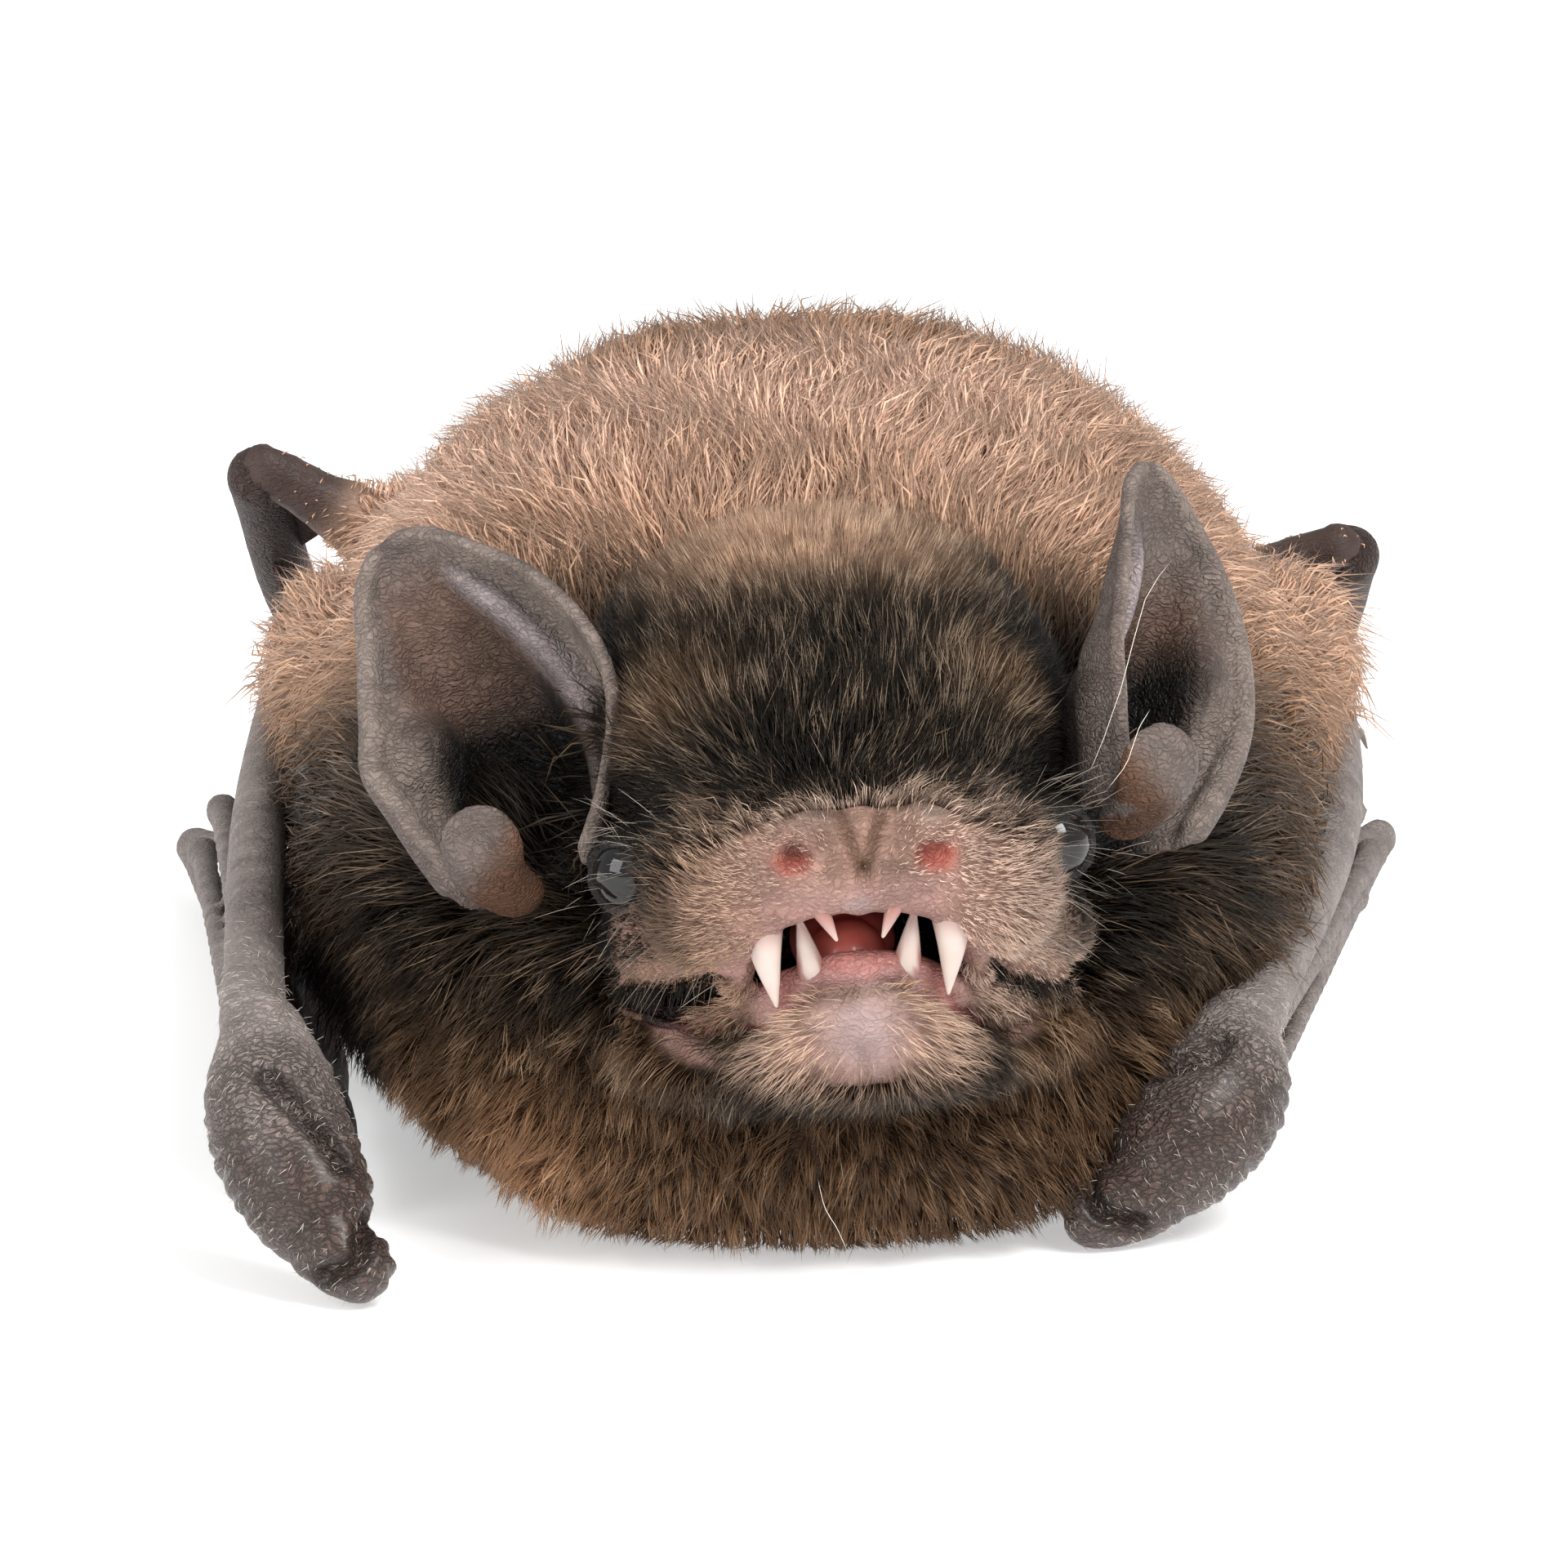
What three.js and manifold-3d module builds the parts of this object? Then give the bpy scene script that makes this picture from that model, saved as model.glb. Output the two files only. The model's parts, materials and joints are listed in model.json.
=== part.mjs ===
// A bent-wing bat, life size, crouching on a flat floor with its wings folded and its mouth open.
// Millimetres, +Z up. The bat faces -Y, its own left side is +X, and the floor is z = 0.
// The origin is the middle of the flat on which the belly rests.
import * as THREE from "three";
import { mergeVertices } from "three/addons/utils/BufferGeometryUtils.js";
import Module from "manifold-3d";

const wasm = await Module();
wasm.setup();

// ---------------------------------------------------------------- driving sizes
const CUT = 0.2; // clearance left between neighbouring sub-parts
const COARSE = 0.75; // the clearance shape of a round body has this share of its facets
const LEFT = 1; // the bat's own left, +X
const RIGHT = -1;

// The middle of the braincase, and the head's turns in degrees.
const HEAD = { x: 0.45, y: -16.5, z: 12, yaw: 6.5, roll: -2.3 };
const EYE = { side: 5.45, y: -5.4, z: -1.68, radius: 0.64 };
const NOSTRIL = { side: 1.7, y: -10.6, z: -0.28, radii: [0.42, 0.55, 0.5] };
// Teeth from root to tip, in the left half of the mouth.
const UPPER_CANINE = [[2.1, -9.3, -1.5], [2.05, -10.0, -2.9], [1.92, -10.05, -4.15]];
const UPPER_INCISOR = [[0.95, -10.1, -1.2], [0.85, -10.6, -1.9], [0.56, -10.75, -2.5]];
const LOWER_CANINE = [[1.1, -9.3, -4.8], [1.15, -9.75, -3.3], [1.35, -9.95, -1.95]];
const PALATE = { y: -7.0, z: -4.6, halfWidth: 4.3, halfLength: 4.6, halfHeight: 3.0 };
const MOUTH_FLOOR = { y: -7.1, z: -3.7, halfWidth: 3.7, halfLength: 2.65, halfHeight: 1.5 };

const BODY = { front: -22.4, back: 27.2, roundFront: 7, roundBack: 8 };
// The plane between neck and trunk: a point of it, and its lean in degrees.
const NECK_CUT = { y: -15.2, z: 12.4, lean: 48 };
const MEMBRANE = 0.55; // thickness of the wing and tail membranes
const EAR_WALL = 0.55;

// The two arms lie a little differently, so each has its own joints.
const ARM = {
  [RIGHT]: {
    shoulder: [-9.2, -8, 9.5],
    armBend: [-12.5, 4, 10.1],
    elbow: [-14.0, 17, 7.8],
    midArm: [-14.3, -2, 7.2],
    wrist: [-13.4, -20.9, 6.0],
    pad: [[-13.3, -20.9, 6.0], [-12.8, -22.1, 4.0], [-12.15, -23.1, 2.7], [-11.15, -24.1, 1.3]],
    thumb: [[-11.6, -23.9, 1.65], [-10.85, -24.4, 1.08], [-9.95, -24.75, 0.95]],
    claw: [[-10.6, -23.85, 0.8], [-10.7, -22.85, 0.95], [-10.75, -22.05, 0.2]],
    web: [[-13.1, -17.2, 4.3], [-13.9, -2, 5.6], [-13.7, 14.4, 5.6]],
    knuckle: [-16.6, 16.5, 2.4],
    bend: [-17.9, 21.4, 1.6],
    tip: [-13.8, -5, 0.95],
    hem: [[-11.1, -15.8, 0.75], [-12.9, 0, 0.8], [-14.4, 15, 0.9]],
  },
  [LEFT]: {
    shoulder: [9.2, -8, 9.2],
    armBend: [12.5, 4, 9.8],
    elbow: [14.0, 18.6, 7.2],
    midArm: [13.9, 0.6, 6.0],
    wrist: [10.95, -17.4, 4.75],
    pad: [[11.0, -17.4, 4.8], [10.2, -18.5, 3.25], [9.1, -19.3, 2.15], [7.95, -19.85, 1.25]],
    thumb: [[8.45, -19.65, 1.4], [7.4, -20.05, 1.0], [6.3, -20.3, 0.98]],
    claw: [[7.2, -19.4, 0.8], [7.35, -18.4, 0.95], [7.4, -17.6, 0.2]],
    web: [[10.3, -13.4, 3.1], [12.3, 0.6, 4.4], [13.6, 16, 5.0]],
    knuckle: [15.1, 15.5, 2.0],
    bend: [16.2, 20.3, 1.5],
    tip: [12.2, -5, 0.9],
    hem: [[9.8, -12.2, 0.75], [11.4, 0, 0.8], [13.2, 15, 0.85]],
  },
};
// The knees stand out high beside the rump, the right one higher.
const LEG = {
  [RIGHT]: { hip: [-5.0, 21, 7.6], knee: [-15.9, 17.8, 13.6], ankle: [-12.2, 32, 1.5] },
  [LEFT]: { hip: [5.0, 21, 7.0], knee: [15.7, 18.2, 10.6], ankle: [12.2, 32, 1.5] },
};
// Angles in radians: the middle toe's heading outwards, and the fan of all the toes.
const FOOT = { toeLength: 5.4, toes: 5, heading: 0.34, fan: 0.8, shortening: 0.25 };
const TAIL = [[0, 25.5, 4.6], [0.2, 31, 2.9], [1.2, 38.5, 1.35], [4.4, 47, 0.85], [8.6, 54.5, 0.62]];
const TAIL_HEM = [[6.0, 25.4, 4.6], [9.2, 27.4, 3.9], [10.6, 31.8, 1.7], [9.4, 36.5, 1.15], [8.4, 40.5, 0.85]];

// Rows of [share of the length, radius across, radius up].
const PROFILE = {
  upperArm: [[0, 3.0, 3.2], [0.45, 2.2, 2.6], [0.8, 1.3, 1.5], [1, 1.1, 1.2]],
  forearm: [[0, 1.25, 1.35], [0.15, 1.1, 1.2], [0.5, 0.85, 0.95], [0.85, 0.8, 0.85], [1, 1.1, 1.05]],
  hand: [[0, 1.3, 1.2], [0.3, 1.74, 1.6], [0.68, 1.72, 1.6], [1, 1.3, 1.2]],
  thumb: [[0, 1.15, 1.1], [0.5, 1.0, 0.98], [1, 0.92, 0.9]],
  handBone: [[0, 0.6, 0.6], [1, 0.62, 0.62]],
  foldedBone: [[0, 0.75, 0.75], [1, 0.8, 0.8]],
  tipBone: [[0, 0.66, 0.66], [1, 0.42, 0.42]],
  thigh: [[0, 3.4, 3.8], [0.5, 2.9, 3.0], [0.85, 1.5, 1.5], [1, 1.05, 1.05]],
  shin: [[0, 1.15, 1.15], [0.4, 1.0, 1.05], [0.85, 0.72, 0.75], [1, 0.85, 0.8]],
  sole: [[0, 0.95, 0.85], [1, 1.15, 0.75]],
  toe: [[0, 0.5, 0.5], [0.6, 0.42, 0.42], [1, 0.16, 0.18]],
  tail: [[0, 1.35, 1.35], [0.35, 0.95, 1.0], [0.7, 0.65, 0.7], [1, 0.4, 0.42]],
  tragus: [[0, 0.75, 0.4], [0.6, 1.1, 0.4], [1, 0.8, 0.35]],
  earHollow: [[0, 2.5, 2.2], [0.45, 3.0, 2.2], [1, 1.2, 1.2]],
  wingGroove: [[0, 2.2, 4.4], [0.5, 2.2, 4.8], [1, 2.4, 3.6]],
};

// ---------------------------------------------------------------- shared shape tools
const vec = (p) => new THREE.Vector3(...p);
const shift = (p, x, y, z) => [p[0] + x, p[1] + y, p[2] + z];
const middleOf = (from, to) => from.map((p, i) => (p + to[i]) / 2);
const limit = THREE.MathUtils.clamp;
const curveThrough = (points) => new THREE.CatmullRomCurve3(points.map(vec), false, "centripetal");

// A smooth curve through rows of [position, value, value, ...], read at any position.
function table(rows) {
  const slope = (i, k) => {
    const a = rows[Math.max(i - 1, 0)];
    const b = rows[Math.min(i + 1, rows.length - 1)];
    return (b[k] - a[k]) / (b[0] - a[0]);
  };
  return (x, k = 1) => {
    let i = 0;
    while (i < rows.length - 2 && x > rows[i + 1][0]) i++;
    const span = rows[i + 1][0] - rows[i][0];
    const t = limit((x - rows[i][0]) / span, 0, 1);
    const h = [2 * t ** 3 - 3 * t ** 2 + 1, t ** 3 - 2 * t ** 2 + t, 3 * t ** 2 - 2 * t ** 3, t ** 3 - t ** 2];
    const values = h[0] * rows[i][k] + h[2] * rows[i + 1][k];
    return values + span * (h[1] * slope(i, k) + h[3] * slope(i + 1, k));
  };
}

// 0 at an end, 1 from `length` inwards, along a quarter circle, so that the end is round.
function roundEnd(distance, length) {
  const s = limit(distance / length, 0, 1);
  return Math.sqrt(1 - (1 - s) ** 2);
}

// Welds a closed geometry into one solid, whichever way round its faces are.
function toSolid(geometry) {
  geometry.deleteAttribute("normal");
  geometry.deleteAttribute("uv");
  const merged = mergeVertices(geometry, 1e-4);
  const kept = [];
  const index = merged.index.array;
  for (let i = 0; i < index.length; i += 3) {
    const [a, b, c] = [index[i], index[i + 1], index[i + 2]];
    if (a !== b && b !== c && a !== c) kept.push(a, b, c);
  }
  const vertProperties = merged.attributes.position.array;
  const weld = () => {
    const data = { numProp: 3, vertProperties, triVerts: new Uint32Array(kept) };
    return new wasm.Manifold(new wasm.Mesh(data));
  };
  const solid = weld();
  if (solid.volume() > 0) return solid;
  for (let i = 0; i < kept.length; i += 3) [kept[i + 1], kept[i + 2]] = [kept[i + 2], kept[i + 1]];
  return weld();
}

// Moves the vertices of a unit sphere: shape(t, angle) gives the place at t along its axis, from 0 to 1.
// `grow` is the clearance by which the shape is larger all round.
function ballShape(sides, rings, shape, grow = 0) {
  const share = grow > 0 && sides > 12 ? COARSE : 1;
  const geometry = new THREE.SphereGeometry(1, Math.round(sides * share), Math.round(rings * share));
  const place = geometry.attributes.position;
  for (let i = 0; i < place.count; i++) {
    const [x, y, z] = [place.getX(i), limit(place.getY(i), -1, 1), place.getZ(i)];
    const t = (1 - y) / 2;
    const angle = t < 1e-9 || t > 1 - 1e-9 ? 0 : Math.atan2(z, x);
    place.setXYZ(i, ...shape(t, angle).toArray());
  }
  return toSolid(geometry);
}

// A body of elliptical slices along Y. Rows hold [y, half width, top, bottom, height of the widest place].
function slicedBody(rows, sides, rings, { front, back, square = 2, exact = false }) {
  const value = table(rows);
  const [first, last] = [rows[0][0], rows[rows.length - 1][0]];
  return (grow) => ballShape(sides, rings, (t, angle) => {
    const y = THREE.MathUtils.lerp(first - grow, last + grow, t);
    const end = roundEnd(y - first + grow, front) * roundEnd(last + grow - y, back);
    const [half, top, bottom, mid] = [1, 2, 3, 4].map((k) => value(y, k));
    const [c, s] = [Math.cos(angle), Math.sin(angle)];
    const blunt = (v) => Math.sign(v) * Math.abs(v) ** (2 / square);
    const reach = s > 0 ? top - mid + grow : mid - bottom + grow;
    return new THREE.Vector3(blunt(c) * (half + grow) * end, y, mid + blunt(s) * reach * end);
  }, exact ? 0 : grow);
}

// A rounded limb along a curve, with a profile from the table above.
function limb(points, profile, sides, rings, up = [0, 0, 1]) {
  const curve = curveThrough(points);
  const length = curve.getLength();
  const radius = table(profile);
  const [r0, r1] = [radius(0), radius(1)];
  return (grow) => ballShape(sides, rings, (t, angle) => {
    const along = curve.getTangentAt(t);
    const across = along.clone().cross(vec(up)).normalize();
    const upward = across.clone().cross(along);
    const end = roundEnd(t * length, r0) * roundEnd((1 - t) * length, r1);
    const place = curve.getPointAt(t).addScaledVector(along, (t - 0.5) * 2 * grow);
    place.addScaledVector(across, Math.cos(angle) * (radius(t, 1) + grow) * end);
    return place.addScaledVector(upward, Math.sin(angle) * (radius(t, 2) + grow) * end);
  }, grow);
}

// A thin closed sheet about a middle surface middle(u, v), both from 0 to 1.
function sheet(middle, columns, rows, thickness) {
  return (grow) => {
    const geometry = new THREE.BoxGeometry(1, 1, 1, columns, rows, 1);
    const place = geometry.attributes.position;
    const step = 1e-3;
    for (let i = 0; i < place.count; i++) {
      const [u, v, side] = [place.getX(i) + 0.5, place.getY(i) + 0.5, place.getZ(i) * 2];
      const along = middle(u + step, v).sub(middle(u - step, v));
      const across = middle(u, v + step).sub(middle(u, v - step));
      const normal = along.cross(across).normalize();
      place.setXYZ(i, ...middle(u, v).addScaledVector(normal, side * (thickness / 2 + grow)).toArray());
    }
    return toSolid(geometry);
  };
}

const ball = (centre, radii, sides, rings) => (grow) => ballShape(sides, rings, (t, angle) => {
  const polar = Math.acos(1 - 2 * t);
  const [rx, ry, rz] = radii.map((r) => r + grow);
  return vec(centre).add(new THREE.Vector3(
    rx * Math.sin(polar) * Math.cos(angle), -ry * Math.cos(polar), rz * Math.sin(polar) * Math.sin(angle)));
}, grow);

// A pointed, slightly bent spike: tooth or claw.
function spike(points, radius, sides = 6, rings = 5) {
  const waist = radius * 0.72;
  const point = 0.08;
  const profile = [[0, radius, radius], [0.5, waist, waist], [1, point, point]];
  return limb(points, profile, sides, rings, [1, 0, 0.01]);
}

const joined = (...builds) => (grow) => builds.map((b) => b(grow)).reduce((a, b) => a.add(b));
const without = (build, ...tools) => (grow) => tools.reduce((a, tool) => a.subtract(tool(0)), build(grow));

// Everything below z = 0, where the bat lies flat on the floor.
const floorBlock = toSolid(new THREE.BoxGeometry(200, 200, 40).translate(0, 20, -20));

// ---------------------------------------------------------------- head
// Head shapes are drawn from the middle of the braincase, then turned into place.
const headGroup = new THREE.Group();
headGroup.position.set(HEAD.x, HEAD.y, HEAD.z);
headGroup.rotation.set(0, THREE.MathUtils.degToRad(HEAD.roll), THREE.MathUtils.degToRad(HEAD.yaw), "ZYX");
headGroup.updateMatrixWorld();
const turned = (build) => (grow) => build(grow).transform(headGroup.matrixWorld.elements);

// The skull's coat and the upper jaw: a short low muzzle under a steep high crown.
const skull = slicedBody([
  [-11.1, 3.2, 0.75, -1.75, -0.6],
  [-10.0, 3.9, 1.0, -2.7, -0.9],
  [-8.6, 4.5, 1.15, -3.7, -1.3],
  [-7.2, 5.0, 1.75, -4.45, -1.7],
  [-6.0, 5.35, 2.9, -4.95, -2.0],
  [-4.6, 5.6, 4.3, -5.2, -2.2],
  [-2.6, 5.95, 5.75, -5.4, -2.0],
  [0, 6.5, 6.7, -5.6, -1.5],
  [4, 7.1, 6.9, -5.6, -0.6],
], 18, 15, { front: 1.1, back: 3, square: 2.15 });
const room = (size) => ball([0, size.y, size.z], [size.halfWidth, size.halfLength, size.halfHeight], 10, 7);
const nostril = (side) => ball([side * NOSTRIL.side, NOSTRIL.y, NOSTRIL.z], NOSTRIL.radii, 6, 5);
const mirrored = (points, side) => points.map(([x, y, z]) => [side * x, y, z]);
const upperCanine = (side) => spike(mirrored(UPPER_CANINE, side), 0.52);
const upperIncisor = (side) => spike(mirrored(UPPER_INCISOR, side), 0.3, 5, 3);
const lowerCanine = (side) => spike(mirrored(LOWER_CANINE, side), 0.45);

const jaw = slicedBody([
  [-10.4, 2.0, -3.05, -5.7, -4.3],
  [-9.4, 2.6, -3.6, -6.6, -4.9],
  [-8.3, 3.3, -4.4, -7.0, -5.6],
  [-6.8, 4.2, -4.9, -7.25, -6.0],
  [-5.2, 4.9, -5.15, -7.5, -6.2],
  [-2.5, 5.3, -5.3, -7.8, -6.4],
], 13, 8, { front: 1.1, back: 2.5, square: 2.2, exact: true });
const tongue = slicedBody([
  [-8.9, 0.9, -2.75, -3.9, -3.4],
  [-8, 1.25, -2.55, -4.3, -3.5],
  [-5.6, 1.6, -2.7, -4.6, -3.6],
], 9, 5, { front: 1, back: 1 });

// An ear is a leaf rolled into a trough. It stands on `base`, leans to `tip`, and opens along `open`.
const earShapes = {
  [RIGHT]: {
    base: [-7.75, -3.35, -2.1],
    belly: [-8.35, -1.2, 2.1],
    tip: [-9.9, 1.75, 5.75],
    open: [-0.42, -0.82, 0.38],
    width: 6.75,
  },
  [LEFT]: {
    base: [8.3, -3.9, -1.95],
    belly: [9.15, -0.95, 2.2],
    tip: [8.75, 1.0, 6.5],
    open: [0.76, -0.62, 0.18],
    width: 6.1,
  },
};
const earWidth = table([[0, 0.52], [0.2, 0.76], [0.45, 1.0], [0.68, 0.88], [0.86, 0.6], [1, 0.16]]);
const earRoll = table([[0, 4.0], [0.25, 3.1], [0.55, 2.2], [1, 1.1]]); // radians that the trough wraps

function ear(shape) {
  const spine = curveThrough([shape.base, shape.belly, shape.tip]);
  return (u, v) => {
    const s = limit(v, 0, 1);
    const along = spine.getTangentAt(s);
    const back = vec(shape.open).negate();
    const across = along.clone().cross(back).normalize();
    const depth = across.clone().cross(along).normalize();
    if (depth.dot(back) < 0) depth.negate();
    const roll = earRoll(s);
    const radius = (shape.width * earWidth(s)) / (2 * Math.sin(Math.min(roll, Math.PI) / 2));
    const turn = (u - 0.5) * roll;
    const place = spine.getPointAt(s).addScaledVector(along, (v - s) * spine.getLength());
    place.addScaledVector(across, radius * Math.sin(turn));
    return place.addScaledVector(depth, radius * (Math.cos(turn) - Math.cos(roll / 2)));
  };
}
const earSolid = (side) => turned(sheet(ear(earShapes[side]), 7, 7, EAR_WALL));
// The hollow of the ear, which head, neck and trunk keep clear of.
function earRoom(side) {
  const { base, belly, tip, open } = earShapes[side];
  return turned(limb([base, belly, tip], PROFILE.earHollow, 8, 6, open));
}

const tragusShapes = {
  [RIGHT]: [[-8.35, -3.9, -2.7], [-8.5, -4.15, -1.4], [-8.2, -4.1, -0.15]],
  [LEFT]: [[7.5, -5.1, -1.7], [7.9, -5.4, -0.4], [8.1, -5.2, 0.8]],
};
const tragusSolid = (side) => turned(limb(tragusShapes[side], PROFILE.tragus, 8, 6, [side * 0.3, -1, 0]));

// ---------------------------------------------------------------- neck and trunk
// One body from the ruff to the rump, parted by a leaning plane into the neck and the trunk.
const body = slicedBody([
  [BODY.front, 7.0, 7.6, -1.6, 2.6],
  [-19, 9.8, 11.8, -2.0, 4.2],
  [-14.5, 12.4, 16.6, -2.3, 5.8],
  [-8, 14.4, 18.6, -2.4, 7.2],
  [-1, 14.9, 19.15, -2.4, 7.7],
  [6, 14.5, 19.35, -2.2, 7.7],
  [12, 13.3, 18.8, -2.0, 7.5],
  [18, 11.2, 16.7, -1.6, 7.0],
  [23.5, 8.8, 13.2, -1.0, 6.2],
  [BODY.back, 7.4, 10.6, -0.4, 5.4],
], 20, 14, { front: BODY.roundFront, back: BODY.roundBack, square: 2.08, exact: true });

// The half space in front of and above the cut, pushed back by `margin`.
function neckSide(margin) {
  const block = new THREE.BoxGeometry(60, 60, 60).translate(0, -30 - margin, 0);
  block.rotateX(THREE.MathUtils.degToRad(-NECK_CUT.lean)).translate(0, NECK_CUT.y, NECK_CUT.z);
  return toSolid(block);
}
// The folded wing presses a tall flat groove into the flank.
function wingRoom(a) {
  const points = [shift(a.elbow, 0, 3.5, -3), shift(a.midArm, 0, 0, -2.8), shift(a.wrist, 0, -2, -2)];
  return limb(points, PROFILE.wingGroove, 9, 5);
}
const rooms = [LEFT, RIGHT].flatMap((side) => [earRoom(side), wingRoom(ARM[side])]);
const neck = (grow) => without(body, ...rooms)(grow).intersect(neckSide(0));
const trunk = (grow) => without(body, ...rooms)(grow).subtract(neckSide(-CUT));

// ---------------------------------------------------------------- arms and folded wings
const upperArm = (a) => limb([a.shoulder, a.armBend, a.elbow], PROFILE.upperArm, 7, 6);
const forearm = (a) => limb([a.elbow, a.midArm, a.wrist], PROFILE.forearm, 8, 8);

// The wrist is a broad wrinkled pad, on whose lower end the thumb stands.
const hand = (a) => limb(a.pad, PROFILE.hand, 10, 8, [0, -1, 0]);
const thumb = (a) => limb(a.thumb, PROFILE.thumb, 8, 6, [0, -1, 0.2]);
const thumbClaw = (a) => spike(a.claw, 0.36);

const bone = (from, to, profile) => limb([from, middleOf(from, to), to], profile, 6, 4);

// Three long hand bones side by side, from behind the wrist to the knuckles.
function handBones(a, out) {
  const start = shift(a.wrist, out * 0.1, 1.6, -0.9);
  const offsets = [[0, 0, 1.3], [out * 0.55, -0.8, 0.25], [0, -1.6, -0.8]];
  const bones = offsets.map(([x, y, z]) => bone(
    shift(start, x * 0.6, 0, z * 0.45), shift(a.knuckle, x, y, z), PROFILE.handBone));
  return joined(...bones);
}

// The finger folds back at the knuckle, bends again, and its long last bone points forward under the wing.
const fingerTip = (a) => joined(
  bone(shift(a.knuckle, 0, 0.9, 0), a.bend, PROFILE.foldedBone),
  bone(a.bend, a.tip, PROFILE.tipBone));

// A membrane hung between two curves, in pleats that run along it.
function pleated(upper, lower, pleats, depth) {
  const [top, bottom] = [curveThrough(upper), curveThrough(lower)];
  return (u, v) => {
    const along = limit(u, 0, 1);
    const place = top.getPoint(along).lerp(bottom.getPoint(along), v);
    place.x += Math.sin(v * Math.PI * pleats) * depth * Math.sqrt(Math.sin(along * Math.PI));
    return place;
  };
}

const armMembrane = (a) => sheet(pleated(a.web, a.hem, 3, 0.4), 5, 6, MEMBRANE);

// From the elbow and the knee back to the ankle.
function sideMembrane(a, leg, out) {
  const elbow = shift(a.elbow, out * 0.4, 2.4, -1.4);
  const knee = shift(leg.knee, -out * 0.7, 3.4, -3.6);
  const ankle = shift(leg.ankle, out * 1.3, -1.4, 1.3);
  const heel = shift(leg.ankle, out * 1.5, -1.0, -0.7);
  const hem = [shift(a.hem[2], out * 0.2, 1.8, 0), [out * 14.8, 24, 0.8], heel];
  return sheet(pleated([elbow, knee, ankle], hem, 3, 0.5), 6, 6, MEMBRANE);
}

// ---------------------------------------------------------------- legs and tail
function thigh(leg) {
  const middle = shift(middleOf(leg.hip, leg.knee), 0, -0.4, 0.9);
  return limb([leg.hip, middle, leg.knee], PROFILE.thigh, 8, 6);
}

function shin(leg, out) {
  const top = shift(leg.knee, out * 0.2, 0.5, -0.9);
  const middle = shift(middleOf(leg.knee, leg.ankle), out * 0.7, 0.2, 0);
  return limb([top, middle, shift(leg.ankle, out * 0.2, 0.8, -0.3)], PROFILE.shin, 7, 6);
}

function foot(leg, out) {
  const heel = shift(leg.ankle, out * 0.3, 0.7, -0.5);
  const sole = limb([heel, shift(heel, out * 1.5, 2.0, -0.15)], PROFILE.sole, 8, 5);
  const middleToe = (FOOT.toes - 1) / 2;
  const toes = Array.from({ length: FOOT.toes }, (_, i) => {
    const turn = FOOT.heading + ((i - middleToe) / (FOOT.toes - 1)) * FOOT.fan;
    const [x, y] = [Math.sin(turn) * out, Math.cos(turn)];
    const root = shift(heel, out + x * 0.6, 1.3 + y * 0.6, -0.25);
    const reach = FOOT.toeLength - Math.abs(i - middleToe) * FOOT.shortening;
    const heights = [[0, 0], [0.45, 0.25], [0.8, 0], [1, -0.55]];
    const points = heights.map(([share, up]) => shift(root, x * reach * share, y * reach * share, up));
    return limb(points, PROFILE.toe, 5, 4);
  });
  return joined(sole, ...toes);
}

const tail = limb(TAIL, PROFILE.tail, 8, 10);

// The tail membrane, from the tail out to the leg and its spur, in folds that fan from the rump.
function tailMembrane(side) {
  const along = curveThrough(TAIL);
  const outer = curveThrough(mirrored(TAIL_HEM, side));
  const [scallop, folds, foldDepth, arch] = [3.2, 5, 0.42, 0.5];
  const middle = (u, v) => {
    const s = limit(v, 0, 1);
    const place = along.getPoint(0.06 + s * 0.66).lerp(outer.getPoint(s), u);
    const bow = Math.sin(u * Math.PI);
    place.y -= bow * s * s * scallop;
    place.z += Math.sin(u * Math.PI * folds) * foldDepth * (1 - 0.65 * s) + bow * arch * (1 - s);
    return place;
  };
  return sheet(middle, 8, 4, MEMBRANE);
}

// ---------------------------------------------------------------- finishes
const finish = (color, roughness) => new THREE.MeshStandardMaterial({ color, roughness, metalness: 0 });
const fur = finish(0x4a3a2e, 0.95);
const face = finish(0xb58a78, 0.75);
const skin = finish(0x6b5d58, 0.7);
const membrane = finish(0x3f3430, 0.65);
const eyeGloss = finish(0x0c0a0a, 0.12);
const tonguePink = finish(0xb9524a, 0.45);
const horn = finish(0x2b2320, 0.4);

// ---------------------------------------------------------------- assembly
const model = new THREE.Group();
model.add(headGroup);

function groupAt(place) {
  const group = new THREE.Group();
  group.position.set(...place);
  group.updateMatrixWorld();
  model.add(group);
  return group;
}

// A solid in the bat's frame becomes a mesh of the group, with its origin in its own middle.
function toMesh(name, solid, material, group) {
  const { numProp, vertProperties, triVerts } = solid.getMesh();
  const place = new Float32Array((vertProperties.length / numProp) * 3);
  for (let i = 0; i < place.length / 3; i++) {
    place.set(vertProperties.subarray(i * numProp, i * numProp + 3), i * 3);
  }
  const geometry = new THREE.BufferGeometry();
  geometry.setAttribute("position", new THREE.BufferAttribute(place, 3));
  geometry.setIndex(new THREE.BufferAttribute(triVerts, 1));
  geometry.applyMatrix4(group.matrixWorld.clone().invert());
  geometry.computeBoundingBox();
  const middle = geometry.boundingBox.getCenter(new THREE.Vector3());
  geometry.translate(-middle.x, -middle.y, -middle.z);
  geometry.computeVertexNormals();
  const mesh = new THREE.Mesh(geometry, material);
  mesh.name = name;
  mesh.position.copy(middle);
  return mesh;
}

function boxesMeet(a, b) {
  return [0, 1, 2].every((i) => a.min[i] < b.max[i] && b.min[i] < a.max[i]);
}

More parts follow.
